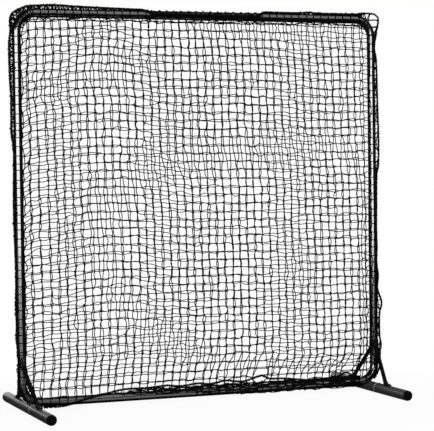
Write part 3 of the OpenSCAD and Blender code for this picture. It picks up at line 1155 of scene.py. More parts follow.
@dataclass
class NetLayer:
    """One layer of knotted square mesh, laced to the ropes round the frame."""

    name: str
    node: str
    end: End
    border: LaidRope
    hem: LaidRope
    seed: int
    spots: tuple[SlackSpot, ...] = ()
    # mesh and cords
    pitch: float = 0.0457
    row_pitch: float = 0.0450
    first_row: float = 0.0354
    cells: int = 45
    row_r: float = 0.0026
    cord_r: float = 0.00285
    lift: float = 0.0001
    knot_ring: tuple[float, float] = (0.0040, 0.0031)
    knot_lean: tuple[float, float] = (0.6, 0.4)
    hitch_ring: tuple[float, float] = (0.0017, 0.0019)
    # slack between knots
    knot_jitter: float = 0.0030
    knot_depth: float = 0.0012
    bow: float = 0.0034
    bow_depth: float = 0.4
    spans: int = 4
    loose_from: float = 0.11
    loose_over: float = 0.15
    stagger: float = 0.011
    # where cords reach the tubes
    tuck: float = 1.9
    wrap_step: float = 0.35
    edge_in: float = 0.021
    edge_jitter: float = 0.004
    top_in: float = 0.030
    far_in: float = 0.004
    facing_out: float = 0.8
    outer_x: float = 0.9
    post_foot: float = 0.05
    left_rope_end: float = 0.165
    right_rope_end: float = 0.08
    top_keep_off: float = 0.010
    fan: tuple[int, ...] = (14, 30, 46, 62, 78)
    fan_spread: float = 3.0
    # the lower edge
    fall: float = 0.30
    fall_step: float = 0.004
    corner_x: float = 0.93
    knot_floor: float = 0.03
    hem_slack: float = 0.4
    hem_drop: float = 0.01
    hem_touch: float = 0.004
    low_hem: float = 0.012
    back_hem: float = 0.02
    # the gathered net on the bottom rail
    skirt_end: float = 0.96
    skirt_keep_off: float = 0.020
    skirt_room: float = 0.012
    skirt_spread: float = 0.007
    skirt_least: float = 0.30
    # the lacing cord
    zigzag: float = 0.011
    lacing_step: float = 0.006
    lacing_degrees: tuple[float, float] = (52.0, 12.0)
    lacing_out: float = 0.003
    lacing_jitter: float = 0.003
    open_x: float = 1.0
    open_every: int = 7
    # what is laid so far
    knots: dict[tuple[int, int], Vector] = field(default_factory=dict)
    extra_knots: list[Vector] = field(default_factory=list)
    rim: list[tuple[float, Vector]] = field(default_factory=list)
    hitches: list[Matrix] = field(default_factory=list)
    skirt: dict[tuple[int, int], Vector] = field(default_factory=dict)

    def __post_init__(self) -> None:
        """Sets the radius at which the cords wrap the tube, and seeds the layer's chance."""
        self.wrap_r = SHAPE.tube_r + self.cord_r + self.lift
        self.front = Vector((0, self.end.value, 0))
        self.hang = Hang(self.seed, self.end.value, self.spots)
        self.chance = random.Random(self.seed)

    def column_x(self, i: int) -> float:
        """Where column i hangs when it isn't pulled aside."""
        return (i - self.cells / 2) * self.pitch

    def wrap(self, spot: Vector, normal: Vector, target: Vector | None) -> list[Vector]:
        """Leads a cord from the tube's front round to a rope, or tucks it behind the tube.

        Args:
            spot: Where the cord meets the tube's centreline.
            normal: The outward direction there.
            target: The rope's centre, or None where no rope is near.

        Returns:
            Points from the tube's front to the end.
        """
        last = self.tuck
        if target is not None:
            out = target - spot
            along, ahead = out.dot(normal), out.dot(self.front)
            distance = math.hypot(along, ahead)
            last = math.atan2(along, ahead) - math.acos(min(1.0, self.wrap_r / distance))
        count = max(1, math.ceil(last / self.wrap_step)) if last > 0 else 0
        points = []
        for k in range(1, count + 1):
            turn = last * k / count
            points.append(spot + self.wrap_r * (math.sin(turn) * normal + math.cos(turn) * self.front))
        if target is not None:
            points.append(target)
        return points

    def column_fall(self, x: float) -> list[Vector]:
        """Finds the way down of a column without slack.

        Args:
            x: The column's x.

        Returns:
            Points from the top rail's height to the hem.
        """
        plane = self.end.value * self.wrap_r
        head = Vector((x, plane, SHAPE.top_z))
        if abs(x) > self.corner_x:
            spot, normal = SHAPE.cross_upright(x, Level.BOTTOM)
            return [head, Vector((x, plane, spot.z)), *self.wrap(spot, normal, None)]
        target, _ = self.hem.nearest(Vector((x, 0, SHAPE.rail_z)))
        if self.end is End.BACK and target.z < SHAPE.rail_z + self.back_hem:
            target = Vector((x, 0, SHAPE.rail_z + self.wrap_r))
        if target.z < SHAPE.rail_z + self.low_hem:
            spot = Vector((x, 0, SHAPE.rail_z))
            return [head, Vector((x, plane, SHAPE.rail_z)), *self.wrap(spot, Vector((0, 0, -1)), target)]
        return [head, Vector((x, plane, self.fall)), target]

    def lay_knots(self) -> None:
        """Places every knot inside the tubes."""
        for i in range(1, self.cells):
            x = self.column_x(i)
            fall = even_steps(self.column_fall(x), self.fall_step)
            length = sum((b - a).length for a, b in zip(fall, fall[1:]))
            for j in range(1, int((length - self.first_row) / self.row_pitch - self.hem_slack) + 2):
                along = self.first_row + (j - 1) * self.row_pitch
                place = fall[min(len(fall) - 1, round(along / length * (len(fall) - 1)))].copy()
                loose = min(1.0, max(0.0, (place.z - self.loose_from) / self.loose_over))
                dx, dz = self.hang.shift(x, place.z)
                place.x += dx * loose + self.chance.gauss(0, self.knot_jitter)
                place.z += (dz + self.chance.gauss(0, self.knot_jitter)) * loose
                place.y += self.chance.gauss(0, self.knot_depth) * loose
                at_hem = place.z < SHAPE.rail_z + self.knot_floor and abs(x) < self.corner_x
                if SHAPE.inside(place.x, place.z) or at_hem:
                    self.knots[i, j] = place

    def strand(self, stops: list[Vector]) -> list[Vector]:
        """Leads a cord through its knots, bowed a little between them.

        Args:
            stops: The knots, in order.

        Returns:
            The cord's points.
        """
        path = [stops[0]]
        for a, b in zip(stops, stops[1:]):
            run = b - a
            if run.length > 0.5 * self.pitch:
                side = Vector((-run.z, 0, run.x)).normalized() * self.chance.gauss(0, self.bow)
                side += Vector((0, self.chance.gauss(0, self.bow * self.bow_depth), 0))
                for k in range(1, self.spans):
                    t = k / self.spans
                    path.append(a + run * t + side * math.sin(math.pi * t))
            path.append(b)
        return path

    def clear(self, value: float, keep_off: list[tuple[float, float]]) -> float:
        """Moves a value to the nearer edge of a zone that it falls in.

        Args:
            value: The value.
            keep_off: The zones, as middles and half widths.

        Returns:
            The value, clear of them.
        """
        for centre, half in keep_off:
            if abs(value - centre) < half:
                return centre + math.copysign(half, value - centre)
        return value

    def lace(self, spot: Vector, normal: Vector, has_rope: bool) -> list[Vector]:
        """Leads the end of a cord over the tube and hitches it to the border rope.

        Args:
            spot: Where the cord meets the tube's centreline.
            normal: The outward direction there.
            has_rope: False where the border rope doesn't reach.

        Returns:
            Points from the rim cord on the tube's front to the end.
        """
        target = None
        if has_rope:
            target, ahead = self.border.nearest(spot + normal * LIE)
            self.hitches.append(facing(target, ahead))
        depth = self.edge_in
        if self.end is End.BACK and normal.z > self.facing_out:
            depth = self.top_in
        elif self.end is End.BACK and normal.x > self.facing_out:
            depth = self.far_in
        inward = max(0.0, self.chance.gauss(depth, self.edge_jitter))
        rim = spot - normal * inward + self.wrap_r * self.front
        self.rim.append((math.atan2(spot.x, spot.z - SHAPE.middle_z), rim))
        return [rim] + self.wrap(spot, normal, target)

    def runs(self, j: int) -> list[list[int]]:
        """Finds the unbroken runs of columns that have a knot in a row.

        Args:
            j: The row.

        Returns:
            The runs, each a list of columns.
        """
        found: list[list[int]] = []
        for i in range(1, self.cells):
            if (i, j) in self.knots:
                if found and found[-1][-1] == i - 1:
                    found[-1].append(i)
                else:
                    found.append([i])
        return found

    def row_end(self, knot: Vector, column: int, side: Side) -> list[Vector]:
        """Leads the end of a row over a post, or down to the hem rope.

        Args:
            knot: The last knot.
            column: Its column.
            side: The side that the row ends on.

        Returns:
            Points on from the knot, or none.
        """
        sign = side.value
        outermost = column in (1, 2, self.cells - 1, self.cells - 2) and abs(knot.x) > self.outer_x
        if outermost and knot.z > SHAPE.rail_z + self.post_foot:
            drop = self.hang.shift(sign * SHAPE.post_x, knot.z)[1] - self.hang.shift(knot.x, knot.z)[1]
            z = self.clear(knot.z + drop + self.end.value * self.stagger, POST_FITTINGS)
            spot, normal = SHAPE.cross_sideways(z, side)
            rope_end = self.left_rope_end if side is Side.LEFT else self.right_rope_end
            return self.lace(spot, normal, spot.z > rope_end)
        if abs(knot.x) > self.corner_x:
            return []
        target, ahead = self.hem.nearest(knot + Vector((sign * self.pitch, 0, -self.hem_drop)))
        if (target - knot).length > 2 * self.pitch:
            return []
        self.hitches.append(facing(target, ahead))
        return [target]

    def build_rows(self) -> list[list[Vector]]:
        """Lays the cords that run across.

        Returns:
            Their paths.
        """
        paths = []
        for j in sorted({key[1] for key in self.knots}):
            for run in self.runs(j):
                stops = [self.knots[i, j] for i in run]
                head = self.row_end(stops[0], run[0], Side.LEFT)
                tail = self.row_end(stops[-1], run[-1], Side.RIGHT)
                middle = self.strand(head[:1] + stops + tail[:1])
                path = head[:0:-1] + middle + tail[1:]
                if len(path) > 1:
                    paths.append(path)
        return paths

    def build_column(self, i: int) -> list[Vector]:
        """Lays the cord of a column, from the border rope to the gathered net.

        Args:
            i: The column.

        Returns:
            Its path.
        """
        stops = [self.knots[key] for key in sorted(self.knots) if key[0] == i]
        lean = self.hang.shift(stops[0].x, SHAPE.top_z)[0] + self.end.value * self.stagger
        x = self.clear(self.column_x(i) + lean, SHAPE.rail_buttons(self.top_keep_off))
        top = self.lace(*SHAPE.cross_upright(x, Level.TOP), True)
        low = self.column_fall(self.column_x(i))
        target, ahead = self.hem.nearest(low[-1])
        tail = [p for p in low[2:] if p.z < stops[-1].z]
        if (target - low[-1]).length < self.hem_touch:
            self.hitches.append(facing(target, ahead))
            tail = tail[:-1] + [target]
        gathered = self.gather(i)
        if gathered:
            tail += self.strand([target, *gathered])[1:]
        return top[:0:-1] + self.strand(top[:1] + stops) + tail

    def build_columns(self) -> list[list[Vector]]:
        """Lays the cords that run down, and with them every cord that isn't a row.

        Returns:
            The paths of the columns, the corner fans, the lacing, the gathered rows and the
            cord round the tubes' fronts.
        """
        paths = [self.build_column(i) for i in range(1, self.cells)]
        paths += self.corner_fans()
        paths.append(self.lacing())
        paths += self.skirt_rows()
        self.rim.sort(key=lambda item: item[0])
        rim = [place for _, place in self.rim]
        self.extra_knots += rim
        paths.append(self.strand(rim))
        return paths

    def gather(self, i: int) -> list[Vector]:
        """Gathers the knots of a column below the hem rope on the bottom rail.

        Args:
            i: The column.

        Returns:
            The knots, from the top down.
        """
        x = self.clear(self.column_x(i), SHAPE.rail_buttons(self.skirt_keep_off))
        found = []
        for n, row in enumerate(SKIRT):
            if row.start < x < self.skirt_end:
                turn = math.radians(self.chance.gauss(row.degrees, row.spread))
                if abs(abs(x) - SHAPE.rail_button_x) < self.pitch:
                    least = self.skirt_least
                    turn = max(turn, least) if row.degrees >= 0 else min(turn, -least)
                out = self.wrap_r + abs(self.chance.gauss(0, row.slack))
                along = x + self.chance.gauss(0, self.skirt_spread)
                along = self.clear(along, SHAPE.rail_buttons(self.skirt_room))
                ahead, up = self.end.value * math.cos(turn), math.sin(turn)
                self.skirt[i, n] = Vector((along, out * ahead, SHAPE.rail_z + out * up))
                found.append(self.skirt[i, n])
        return found

    def skirt_rows(self) -> list[list[Vector]]:
        """Lays the gathered cords that run along the bottom rail.

        Returns:
            Their paths.
        """
        paths = []
        for n in range(len(SKIRT)):
            stops = [self.skirt[i, n] for i in range(1, self.cells) if (i, n) in self.skirt]
            if len(stops) > 1:
                paths.append(self.strand(stops))
        self.extra_knots += self.skirt.values()
        return paths

    def corner_fans(self) -> list[list[Vector]]:
        """Lays short cords over the top bends, from the tube's front to the border rope.

        Returns:
            Their paths.
        """
        paths = []
        for side in Side:
            centre = Vector((side.value * SHAPE.bend_x, 0, SHAPE.high_bend_z))
            for degrees in self.fan:
                turn = math.radians(degrees + self.chance.gauss(0, self.fan_spread))
                normal = Vector((side.value * math.cos(turn), 0, math.sin(turn)))
                paths.append(self.lace(centre + normal * SHAPE.bend_r, normal, True))
        return paths

    def lacing(self) -> list[Vector]:
        """Lays the lacing cord, to and fro between the border rope and the tube's outside.

        Returns:
            Its path.
        """
        path = []
        places = even_steps(self.border.line, self.zigzag)
        places = [p for k, p in enumerate(places) if p.x < self.open_x or k % self.open_every == 0]
        for k, place in enumerate(places):
            spot, normal = SHAPE.beside(place)
            if k % 2:
                turn = math.radians(self.chance.gauss(*self.lacing_degrees))
                place = spot + self.wrap_r * (math.sin(turn) * normal + math.cos(turn) * self.front)
            else:
                place = place + normal * self.chance.gauss(self.lacing_out, self.lacing_jitter)
            along = Vector((-normal.z, 0, normal.x)) * self.chance.gauss(0, self.lacing_jitter)
            path.append(place + along)
        return smooth_line(path, self.lacing_step)

    def build(self, palette: Palette) -> None:
        """Makes the layer's rows, columns, knots and rope hitches.

        Args:
            palette: The finishes.
        """
        self.lay_knots()
        rows = swept_mesh(f"{self.name}_rows", self.build_rows(), self.row_r)
        add_piece(f"{self.name}_rows", rows, palette, Slot.NET, (self.node,))
        columns = swept_mesh(f"{self.name}_columns", self.build_columns(), self.cord_r)
        add_piece(f"{self.name}_columns", columns, palette, Slot.NET)
        turn = ring_template("knot_turn", *self.knot_ring, steps=6, sides=4)
        lean_y, lean_z = self.knot_lean
        places = []
        for place in [*self.knots.values(), *self.extra_knots]:
            tilt_y = self.chance.uniform(-lean_y, lean_y)
            tilt_z = self.chance.uniform(-lean_z, lean_z)
            places.append(facing(place, Vector((1, tilt_y, 1 + tilt_z))))
        add_piece(f"{self.name}_knots", stamped("knots", turn, places), palette, Slot.NET)
        out, minor = self.hitch_ring
        major = self.border.diameter / 2 + out
        loop = ring_template("hitch_turn", major, minor, steps=10, sides=5)
        add_piece(f"{self.name}_hitches", stamped("hitches", loop, self.hitches), palette, Slot.NET)


# ---------------------------------------------------------------- steel parts


def each(*patterns: str) -> tuple[str, ...]:
    """Writes out node names, with every side and end that a pattern leaves open.

    Args:
        patterns: Names that may hold {side} and {end}.

    Returns:
        The names, each once.
    """
    both = [(side.word, end.word) for side in Side for end in End]
    found = [p.format(side=side, end=end) for p in patterns for side, end in both]
    return tuple(dict.fromkeys(found))


class Steelwork:
    """CAD nodes that keep their shape and get their finishes and even shading here."""

    def coats(self, palette: Palette) -> dict[bpy.types.Material, tuple[str, ...]]:
        """Gives the nodes of each finish."""
        return {}

    def dress(self, palette: Palette, shading: bpy.types.NodeTree) -> None:
        """Gives the nodes their finishes and shades them evenly.

        Args:
            palette: The finishes.
            shading: The shading group.
        """
        for finish, nodes in self.coats(palette).items():
            for node in nodes:
                for holder in frame["nodes"][node].material_slots:
                    holder.material = finish
            modify(shading, *nodes)
            LOG.info("%s: %s on %d nodes", type(self).__name__, finish.name, len(nodes))


@dataclass
class TubeFrame(Steelwork):
    """The slip-together frame: its corners, uprights and rails."""

    corners: tuple[str, ...] = ("top_{side}_corner", "bottom_{side}_corner")
    tubes: tuple[str, ...] = ("{side}_upright", "top_rail", "bottom_rail")

    def coats(self, palette: Palette) -> dict[bpy.types.Material, tuple[str, ...]]:
        """Gives the frame's tubes the glossy coat."""
        return {palette.finishes[Slot.FRAME]: each(*self.corners, *self.tubes)}


@dataclass
class Feet(Steelwork):
    """The two cross feet: hubs welded under the frame's bends, arms and end plugs."""

    bead_r: float = 0.0032
    bead_steps: int = 72
    bead_swell: tuple[float, ...] = (1.0, 1.12, 1.05, 0.9)
    hub_half: float = 0.1125
    lip_w: float = 0.008
    lip_t: float = 0.0015
    lip_rise: float = 0.0009

    def coats(self, palette: Palette) -> dict[bpy.types.Material, tuple[str, ...]]:
        """Gives the steel of the feet the satin coat, and the plugs their plastic."""
        steel, plugs = each("{side}_foot_hub", "{side}_{end}_arm"), each("{side}_{end}_plug")
        return {palette.finishes[Slot.FOOT]: steel, palette.finishes[Slot.PLUG]: plugs}

    def bead_line(self, side: Side) -> list[Vector]:
        """Finds the closed line where a bend's tube meets the hub's tube.

        Args:
            side: The foot's side.

        Returns:
            The line's points.
        """
        centre = Vector((side.value * SHAPE.bend_x, 0, SHAPE.low_bend_z))
        axis = Vector((side.value * SHAPE.foot_x, 0, SHAPE.foot_r))
        apart = (axis - centre).length
        along = (axis - centre) / apart
        across = Vector((-along.z, 0, along.x))
        limit = math.acos((apart - SHAPE.foot_r - SHAPE.bend_r) / SHAPE.tube_r)
        line = []
        for k in range(self.bead_steps):
            lap = 2 * k / self.bead_steps
            sign = 1 if lap < 1 else -1
            turn = limit * math.cos(math.pi * lap)
            ring = SHAPE.bend_r + SHAPE.tube_r * math.cos(turn)
            near = (ring**2 - SHAPE.foot_r**2 + apart**2) / (2 * apart)
            aside = math.sqrt(max(ring**2 - near**2, 0.0))
            forward = Vector((0, SHAPE.tube_r * math.sin(turn), 0))
            line.append(centre + near * along + sign * aside * across + forward)
        return line

    def lip_mesh(self, name: str, side: Side, end: End) -> bpy.types.Mesh:
        """Makes the rolled lip at a hub's mouth, where an arm slides in.

        Args:
            name: Name of the mesh.
            side: The foot's side.
            end: The mouth's end of the hub.

        Returns:
            The mesh, in place.
        """
        height = SHAPE.foot_r + self.lip_rise
        ring = ring_template(name, height - self.lip_t, self.lip_t, steps=48, sides=12)
        place = Matrix.Translation((side.value * SHAPE.foot_x, end.value * self.hub_half, height))
        stretch = Matrix.Diagonal((1, self.lip_w / (2 * self.lip_t), 1, 1))
        ring.transform(place @ stretch @ Matrix.Rotation(math.pi / 2, 4, "X"))
        return ring

    def build(self, palette: Palette) -> None:
        """Makes a lip at each hub's mouth and the weld beads round the hubs' saddles.

        Args:
            palette: The finishes.
        """
        for side in Side:
            for end in End:
                name = f"{side.word}_{end.word}_hub_lip"
                lip = add_piece(name, self.lip_mesh(name, side, end), palette, Slot.FOOT)
                # The front lips take the light lip finish: rubbed bare steel with a painted highlight.
                if end is End.FRONT:
                    lip.data.materials[0] = palette.bare
        for side in Side:
            name = f"{side.word}_hub_weld"
            paths = [self.bead_line(side)]
            mesh = swept_mesh(name, paths, self.bead_r, resolution=2, closed=True, swell=self.bead_swell)
            add_piece(name, mesh, palette, Slot.FOOT).data.materials[0] = palette.satin


def fuller_tube(extra: float, low: float, high: float, fade: float) -> bpy.types.NodeTree:
    """Swells what lies between two heights.

    Args:
        extra: How far the surface moves out.
        low: Lower end of the full swell.
        high: Upper end of the full swell.
        fade: Height over which it fades at each end.

    Returns:
        The geometry node group.
    """
    shader, welded = geometry_group("fuller_tube")
    place = shader.add("GeometryNodeInputPosition").outputs[0]
    z = shader.add("ShaderNodeSeparateXYZ", {"Vector": place}).outputs["Z"]
    share = shader.math("MULTIPLY", shader.remap(z, low - fade, low), shader.remap(z, high + fade, high))
    normal = shader.add("GeometryNodeInputNormal").outputs["Normal"]
    step = {0: normal, "Scale": shader.math("MULTIPLY", share, extra)}
    offset = shader.add("ShaderNodeVectorMath", step, operation="SCALE").outputs[0]
    moved = shader.add("GeometryNodeSetPosition", {"Geometry": welded, "Offset": offset})
    shader.add("NodeGroupOutput", {0: moved.outputs[0]})
    return shader.tree


@dataclass
class Braces(Steelwork):
    """The four bolted braces with their bolts, nuts and washers."""

    swell: float = 0.0028
    tube_low: float = 0.072
    tube_high: float = 0.243
    tube_fade: float = 0.009
    fasteners: tuple[str, ...] = (
        "upright_bolts",
        "upright_nuts",
        "upright_washers",
        "foot_bolts",
        "foot_nuts",
        "foot_washers",
    )

    def coats(self, palette: Palette) -> dict[bpy.types.Material, tuple[str, ...]]:
        """Gives the braces the satin coat and blackens their fasteners."""
        braces = each("{side}_{end}_brace")
        return {palette.satin: braces, palette.finishes[Slot.STEEL]: self.fasteners}

    def dress(self, palette: Palette, shading: bpy.types.NodeTree) -> None:
        """Fills out the braces' tubes and dresses everything.

        Args:
            palette: The finishes.
            shading: The shading group.
        """
        fuller = fuller_tube(self.swell, self.tube_low, self.tube_high, self.tube_fade)
        modify(fuller, *each("{side}_{end}_brace"))
        super().dress(palette, shading)


@dataclass(frozen=True)
class ButtonSeat:
    """The inside of a slip joint behind a snap button, in millimetres."""

    tube_r: float
    wall: float
    travel: float
    slip: float = 0.2
    spigot_wall: float = 2.0
    flange_r: float = 5.5
    flange_t: float = 1.2
    flange_gap: float = 0.08
    strip_half: float = 5.0
    gap: float = 0.1

    @property
    def bore(self) -> float:
        """Inner radius of the spigot, in millimetres."""
        return self.tube_r - self.wall - self.slip - self.spigot_wall

    @property
    def near(self) -> float:
        """Distance in metres from the tube's axis to the spring's face at the button."""
        seat = math.sqrt(self.bore**2 - self.flange_r**2)
        return (seat - self.flange_gap - self.flange_t - self.gap) * MM

    @property
    def far(self) -> float:
        """Distance in metres from the tube's axis to the spring's face at the far wall."""
        return (math.sqrt(self.bore**2 - self.strip_half**2) - self.gap) * MM

    @property
    def keep(self) -> float:
        """Share of the spring's width that is left with the button pushed in."""
        return 1 - self.travel * MM / (self.near + self.far)


@dataclass
class SnapButtons(Steelwork):
    """The twelve snap buttons and the V springs behind them."""

    frame_seat: ButtonSeat = ButtonSeat(24.15, 2.0, 5.8)
    foot_seat: ButtonSeat = ButtonSeat(28.575, 2.5, 6.3)
    strip_t: float = 0.0008
    strip_w: float = 0.010
    strip_len: float = 0.044
    pad: float = 0.0065
    fold: float = 0.0025
    fold_len: float = 0.003
    fold_steps: int = 5
    post_reach: float = 0.01

    def coats(self, palette: Palette) -> dict[bpy.types.Material, tuple[str, ...]]:
        """Blackens the buttons."""
        return {palette.finishes[Slot.STEEL]: tuple(joint["child"] for joint in frame["joints"])}

    def spring_line(self, seat: ButtonSeat) -> list[tuple[float, float]]:
        """Draws the middle line of a V spring: pads, legs and a rounded fold.

        Args:
            seat: The joint that it sits in.

        Returns:
            Points of the line, out towards the button and along the tube.
        """
        half = self.strip_t / 2
        reach, tip = self.fold - half, self.strip_len - self.fold_len
        line = [(seat.near - half, -self.pad), (seat.near - half, self.pad), (reach, tip)]
        for k in range(1, self.fold_steps):
            turn = math.pi * k / self.fold_steps
            line.append((reach * math.cos(turn), tip + reach * math.sin(turn)))
        return line + [(-reach, tip), (half - seat.far, self.pad), (half - seat.far, -self.pad)]

    def spring_mesh(self, name: str, seat: ButtonSeat, place: Matrix) -> bpy.types.Mesh:
        """Bends one strip into a V.

        Args:
            name: Name of the mesh.
            seat: The joint that it sits in.
            place: Puts the V, drawn with its button facing +X and its legs along +Z, in place.

        Returns:
            The mesh.
        """
        bm = bmesh.new()
        verts = [bm.verts.new((x, -self.strip_w / 2, z)) for x, z in self.spring_line(seat)]
        edges = [bm.edges.new(pair) for pair in zip(verts, verts[1:])]
        made = bmesh.ops.extrude_edge_only(bm, edges=edges)
        moved = [v for v in made["geom"] if isinstance(v, bmesh.types.BMVert)]
        bmesh.ops.translate(bm, vec=(0, self.strip_w, 0), verts=moved)
        bmesh.ops.recalc_face_normals(bm, faces=bm.faces)
        bmesh.ops.solidify(bm, geom=bm.faces[:], thickness=self.strip_t)
        bmesh.ops.recalc_face_normals(bm, faces=bm.faces)
        bmesh.ops.transform(bm, matrix=place, verts=bm.verts)
        bmesh.ops.recalc_face_normals(bm, faces=bm.faces)
        return bmesh_to_mesh(bm, name, smooth=False)

    def stand(self, centre: Vector, in_foot: bool) -> tuple[Vector, Vector]:
        """Finds where a button's spring stands.

        Args:
            centre: The button's centre.
            in_foot: True for a button of a foot.

        Returns:
            The point of the tube's axis at the button, and the way that the spring's legs run.
        """
        if in_foot:
            spot = Vector((math.copysign(SHAPE.foot_x, centre.x), centre.y, SHAPE.foot_r))
            return spot, Vector((0, 1 if centre.y > 0 else -1, 0))
        low = centre.z < SHAPE.middle_z
        if abs(abs(centre.x) - SHAPE.post_x) < self.post_reach:
            spot = Vector((math.copysign(SHAPE.post_x, centre.x), 0, centre.z))
            return spot, Vector((0, 0, 1 if low else -1))
        spot = Vector((centre.x, 0, SHAPE.rail_z if low else SHAPE.top_z))
        return spot, Vector((-1 if centre.x > 0 else 1, 0, 0))

    def build(self, palette: Palette) -> None:
        """Makes a spring behind each button.

        Args:
            palette: The finishes.
        """
        replaced = {True: ("foot_button_springs",), False: ("frame_button_springs",)}
        for joint in frame["joints"]:
            button = joint["child"]
            low, high = (Vector(corner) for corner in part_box(button))
            in_foot = abs(joint["axis"][0]) > 0.5
            seat = self.foot_seat if in_foot else self.frame_seat
            spot, along = self.stand((low + high) / 2, in_foot)
            push = Vector(joint["axis"])
            out = -push
            place = Matrix((out, along.cross(out), along)).transposed().to_4x4()
            place.translation = spot
            name = f"{button}_spring"
            mesh = self.spring_mesh(name, seat, place)
            piece = add_piece(name, mesh, palette, Slot.SPRING, replaced[in_foot])
            replaced[in_foot] = ()
            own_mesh(piece)


# ---------------------------------------------------------------- studio


@dataclass(frozen=True)
class Camera:
    """The camera: its place, its turns in degrees and its focal length in pixels."""

    eye: Point = (-3.151, -8.577, 1.296)
    yaw: float = 20.66
    pitch: float = 1.63
    roll: float = -0.80
    focal_px: float = 1645.4
    image_w: float = 434.0
    sensor: float = 36.0
    far_clip: float = 200.0

    def build(self) -> None:
        """Places the camera."""
        yaw, pitch, roll = (math.radians(v) for v in (self.yaw, self.pitch, self.roll))
        level = math.cos(pitch)
        ahead = Vector((math.sin(yaw) * level, math.cos(yaw) * level, -math.sin(pitch)))
        right = Vector((math.cos(yaw), -math.sin(yaw), 0))
        up = right.cross(ahead)
        across = math.cos(roll) * right + math.sin(roll) * up
        upright = -math.sin(roll) * right + math.cos(roll) * up
        data = bpy.data.cameras.new("camera")
        data.sensor_fit = "HORIZONTAL"
        data.sensor_width = self.sensor
        data.lens = self.focal_px / self.image_w * self.sensor
        data.clip_end = self.far_clip
        camera = bpy.data.objects.new("camera", data)
        matrix = Matrix((across, upright, -ahead)).transposed().to_4x4()
        matrix.translation = Vector(self.eye)
        camera.matrix_world = matrix
        bpy.context.scene.collection.objects.link(camera)
        bpy.context.scene.camera = camera


@dataclass(frozen=True)
class Lamp:
    """A rectangular lamp of even radiance that faces a point on the object's axis.

    The azimuth is in degrees to the right of the front, and the elevation in degrees.
    """

    name: str
    size: tuple[float, float]
    radiance: float
    heart_z: float
    distance: float
    azimuth: float
    elevation: float = 0.0

    def build(self) -> None:
        """Hangs the lamp."""
        turn, rise = math.radians(self.azimuth), math.radians(self.elevation)
        level = self.distance * math.cos(rise)
        height = self.heart_z + self.distance * math.sin(rise)
        where = Vector((math.sin(turn) * level, -math.cos(turn) * level, height))
        look = Vector((0, 0, self.heart_z)) - where
        data = bpy.data.lights.new(self.name, "AREA")
        data.shape = "RECTANGLE"
        data.size, data.size_y = self.size
        data.energy = self.radiance * math.pi * self.size[0] * self.size[1]
        lamp = bpy.data.objects.new(self.name, data)
        turned = look.to_track_quat("-Z", "Y").to_matrix().to_4x4()
        lamp.matrix_world = Matrix.Translation(where) @ turned
        lamp.visible_camera = False
        bpy.context.scene.collection.objects.link(lamp)


@dataclass(frozen=True)
class Floor:
    """A white floor with a faint shadow near the object.

    A pair of numbers is where a share starts to rise and where it is full.
    """

    size: float = 60.0
    bare_from: tuple[float, float] = (1.2, 2.0)
    shaded: float = 0.12
    shine: float = 0.93
    bounce: float = 0.2
    sheen_slant: tuple[float, float] = (0.68, 0.86)
    sheen_x: tuple[float, float] = (0.2, -1.0)
    sheen_y: tuple[float, float] = (-0.5, -1.5)
    rail_x: tuple[float, float] = (0.88, 0.70)
    rail_near: tuple[float, float] = (-0.05, -0.10)
    rail_far: tuple[float, float] = (-1.3, -0.9)

    def mirrored(self, shader: Shader, where: Socket) -> Socket:
        """Limits what the tubes mirror to a slanting zone in front and one by the rail.

        Args:
            shader: The material's helper.
            where: The place on the floor.

        Returns:
            The brightness that a mirror ray sees.
        """
        part = shader.add("ShaderNodeSeparateXYZ", {"Vector": where}).outputs
        x, y = part["X"], part["Y"]
        slant = shader.add("ShaderNodeLayerWeight", {"Blend": 0.5}).outputs["Facing"]
        ahead = shader.math("MULTIPLY", shader.remap(y, *self.sheen_y), shader.remap(x, *self.sheen_x))
        sheen = shader.math("MULTIPLY", shader.remap(slant, *self.sheen_slant), ahead)
        by_rail = shader.math("MULTIPLY", shader.remap(y, *self.rail_near), shader.remap(y, *self.rail_far))
        under = shader.remap(shader.math("ABSOLUTE", x), *self.rail_x)
        return shader.math("MAXIMUM", sheen, shader.math("MULTIPLY", under, by_rail))

    def surface(self) -> bpy.types.Material:
        """Makes the floor's material.

        Returns:
            The material.
        """
        material, shader = new_material("white_floor")
        seen, mirror_ray = shader.ray_kinds()
        where = shader.add("ShaderNodeTexCoord").outputs["Object"]
        reach = shader.add("ShaderNodeVectorMath", {0: where}, operation="LENGTH").outputs["Value"]
        pair = {0: shader.matt(self.shaded), 1: shader.glow(self.shine)}
        near = shader.add("ShaderNodeAddShader", pair).outputs[0]
        shown = shader.mix_surfaces(shader.remap(reach, *self.bare_from), near, shader.glow(1.0))
        bright = shader.glow(self.mirrored(shader, where))
        other = shader.mix_surfaces(mirror_ray, shader.matt(self.bounce), bright)
        both = shader.mix_surfaces(seen, other, shown)
        shader.add("ShaderNodeOutputMaterial", {"Surface": both})
        return material

    def build(self) -> None:
        """Lays the floor."""
        bm = bmesh.new()
        bmesh.ops.create_grid(bm, x_segments=1, y_segments=1, size=self.size / 2)
        mesh = bmesh_to_mesh(bm, "floor")
        mesh.materials.append(self.surface())
        floor = bpy.data.objects.new("floor", mesh)
        bpy.context.scene.collection.objects.link(floor)


@dataclass(frozen=True)
class Backlight:
    """A world that is white behind the object and nearly dark for all other rays."""

    ambient: float = 0.08
    mirror: float = 0.02

    def build(self) -> None:
        """Makes the world."""
        world = bpy.data.worlds.new("studio")
        world.use_nodes = True
        world.node_tree.nodes.clear()
        bpy.context.scene.world = world
        shader = Shader(world.node_tree)
        seen, mirror_ray = shader.ray_kinds()
        strength = shader.mix(seen, shader.mix(mirror_ray, self.ambient, self.mirror), 1.0)
        light = shader.add("ShaderNodeBackground", {"Color": WHITE, "Strength": strength})
        shader.add("ShaderNodeOutputWorld", {"Surface": light.outputs[0]})


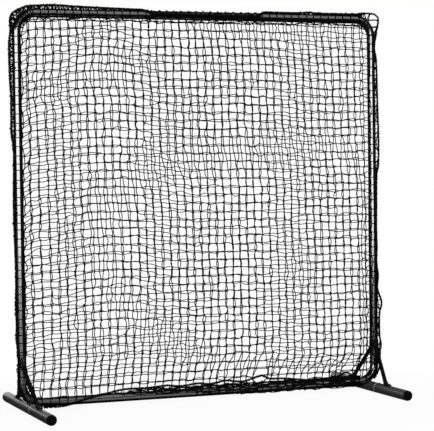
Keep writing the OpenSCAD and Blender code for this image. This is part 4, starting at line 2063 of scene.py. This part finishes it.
LAMPS = (
    Lamp("key", (19.0, 4.0), 8.0, 2.0, 14.0, -26.0),
    Lamp("fill", (5.5, 7.6), 1.15, 1.0, 7.0, 22.0, 44.0),
    Lamp("backdrop", (6.0, 1.5), 2.2, 1.75, 6.0, 180.0),
)


def build_studio() -> None:
    """Builds the camera, the world, the floor and the lamps."""
    bpy.context.scene.view_settings.view_transform = "Standard"
    for item in (Camera(), Backlight(), Floor(), *LAMPS):
        item.build()
    LOG.info("studio built")


# ---------------------------------------------------------------- the whole scene


MIDDLE_SAG = SlackSpot(0.10, 0.90, 0.35, 0.35, 0.35, dz=-0.014)
FRONT_SPOTS = (MIDDLE_SAG,)
BACK_SPOTS = (
    MIDDLE_SAG,
    SlackSpot(0.60, 0.80, 1.20, 0.62, 0.20, dx=0.044),
    SlackSpot(0.45, 2.45, 0.75, 0.45, 0.25, dx=-0.040),
    SlackSpot(-0.75, 1.74, 0.38, 0.09, 0.10, dx=-0.024),
    SlackSpot(-0.38, 1.88, 0.20, 0.07, 0.10, dx=-0.024),
    SlackSpot(0.54, 0.75, 0.08, 0.12, 0.10, dx=0.012),
    SlackSpot(0.54, 0.20, 0.12, 0.06, 0.10, dx=0.016),
    SlackSpot(1.60, 0.30, 1.22, 3.20, 0.36, dz=-0.044),
    SlackSpot(-0.56, 1.30, 0.24, 0.85, 0.30, dz=0.044),
    SlackSpot(-0.55, 0.30, 0.42, 0.28, 0.12, dz=0.022),
)


def main() -> None:
    """Builds the studio and every sub-assembly in order."""
    logging.basicConfig(level=logging.INFO, format="%(message)s")
    build_studio()
    palette = Palette()
    shading = smooth_shading()
    TubeFrame().dress(palette, shading)
    feet = Feet()
    feet.dress(palette, shading)
    feet.build(palette)
    Braces().dress(palette, shading)
    buttons = SnapButtons()
    buttons.dress(palette, shading)
    buttons.build(palette)
    border = LaidRope("border_rope_laid", "border_rope", border_points())
    border.build(palette)
    hem = LaidRope("hem_rope_laid", "hem_rope", hem_points())
    hem.build(palette)
    NetLayer("front_layer", "front_net", End.FRONT, border, hem, 3, FRONT_SPOTS).build(palette)
    NetLayer("back_layer", "back_net", End.BACK, border, hem, 8, BACK_SPOTS).build(palette)


if __name__ == "__main__":
    main()
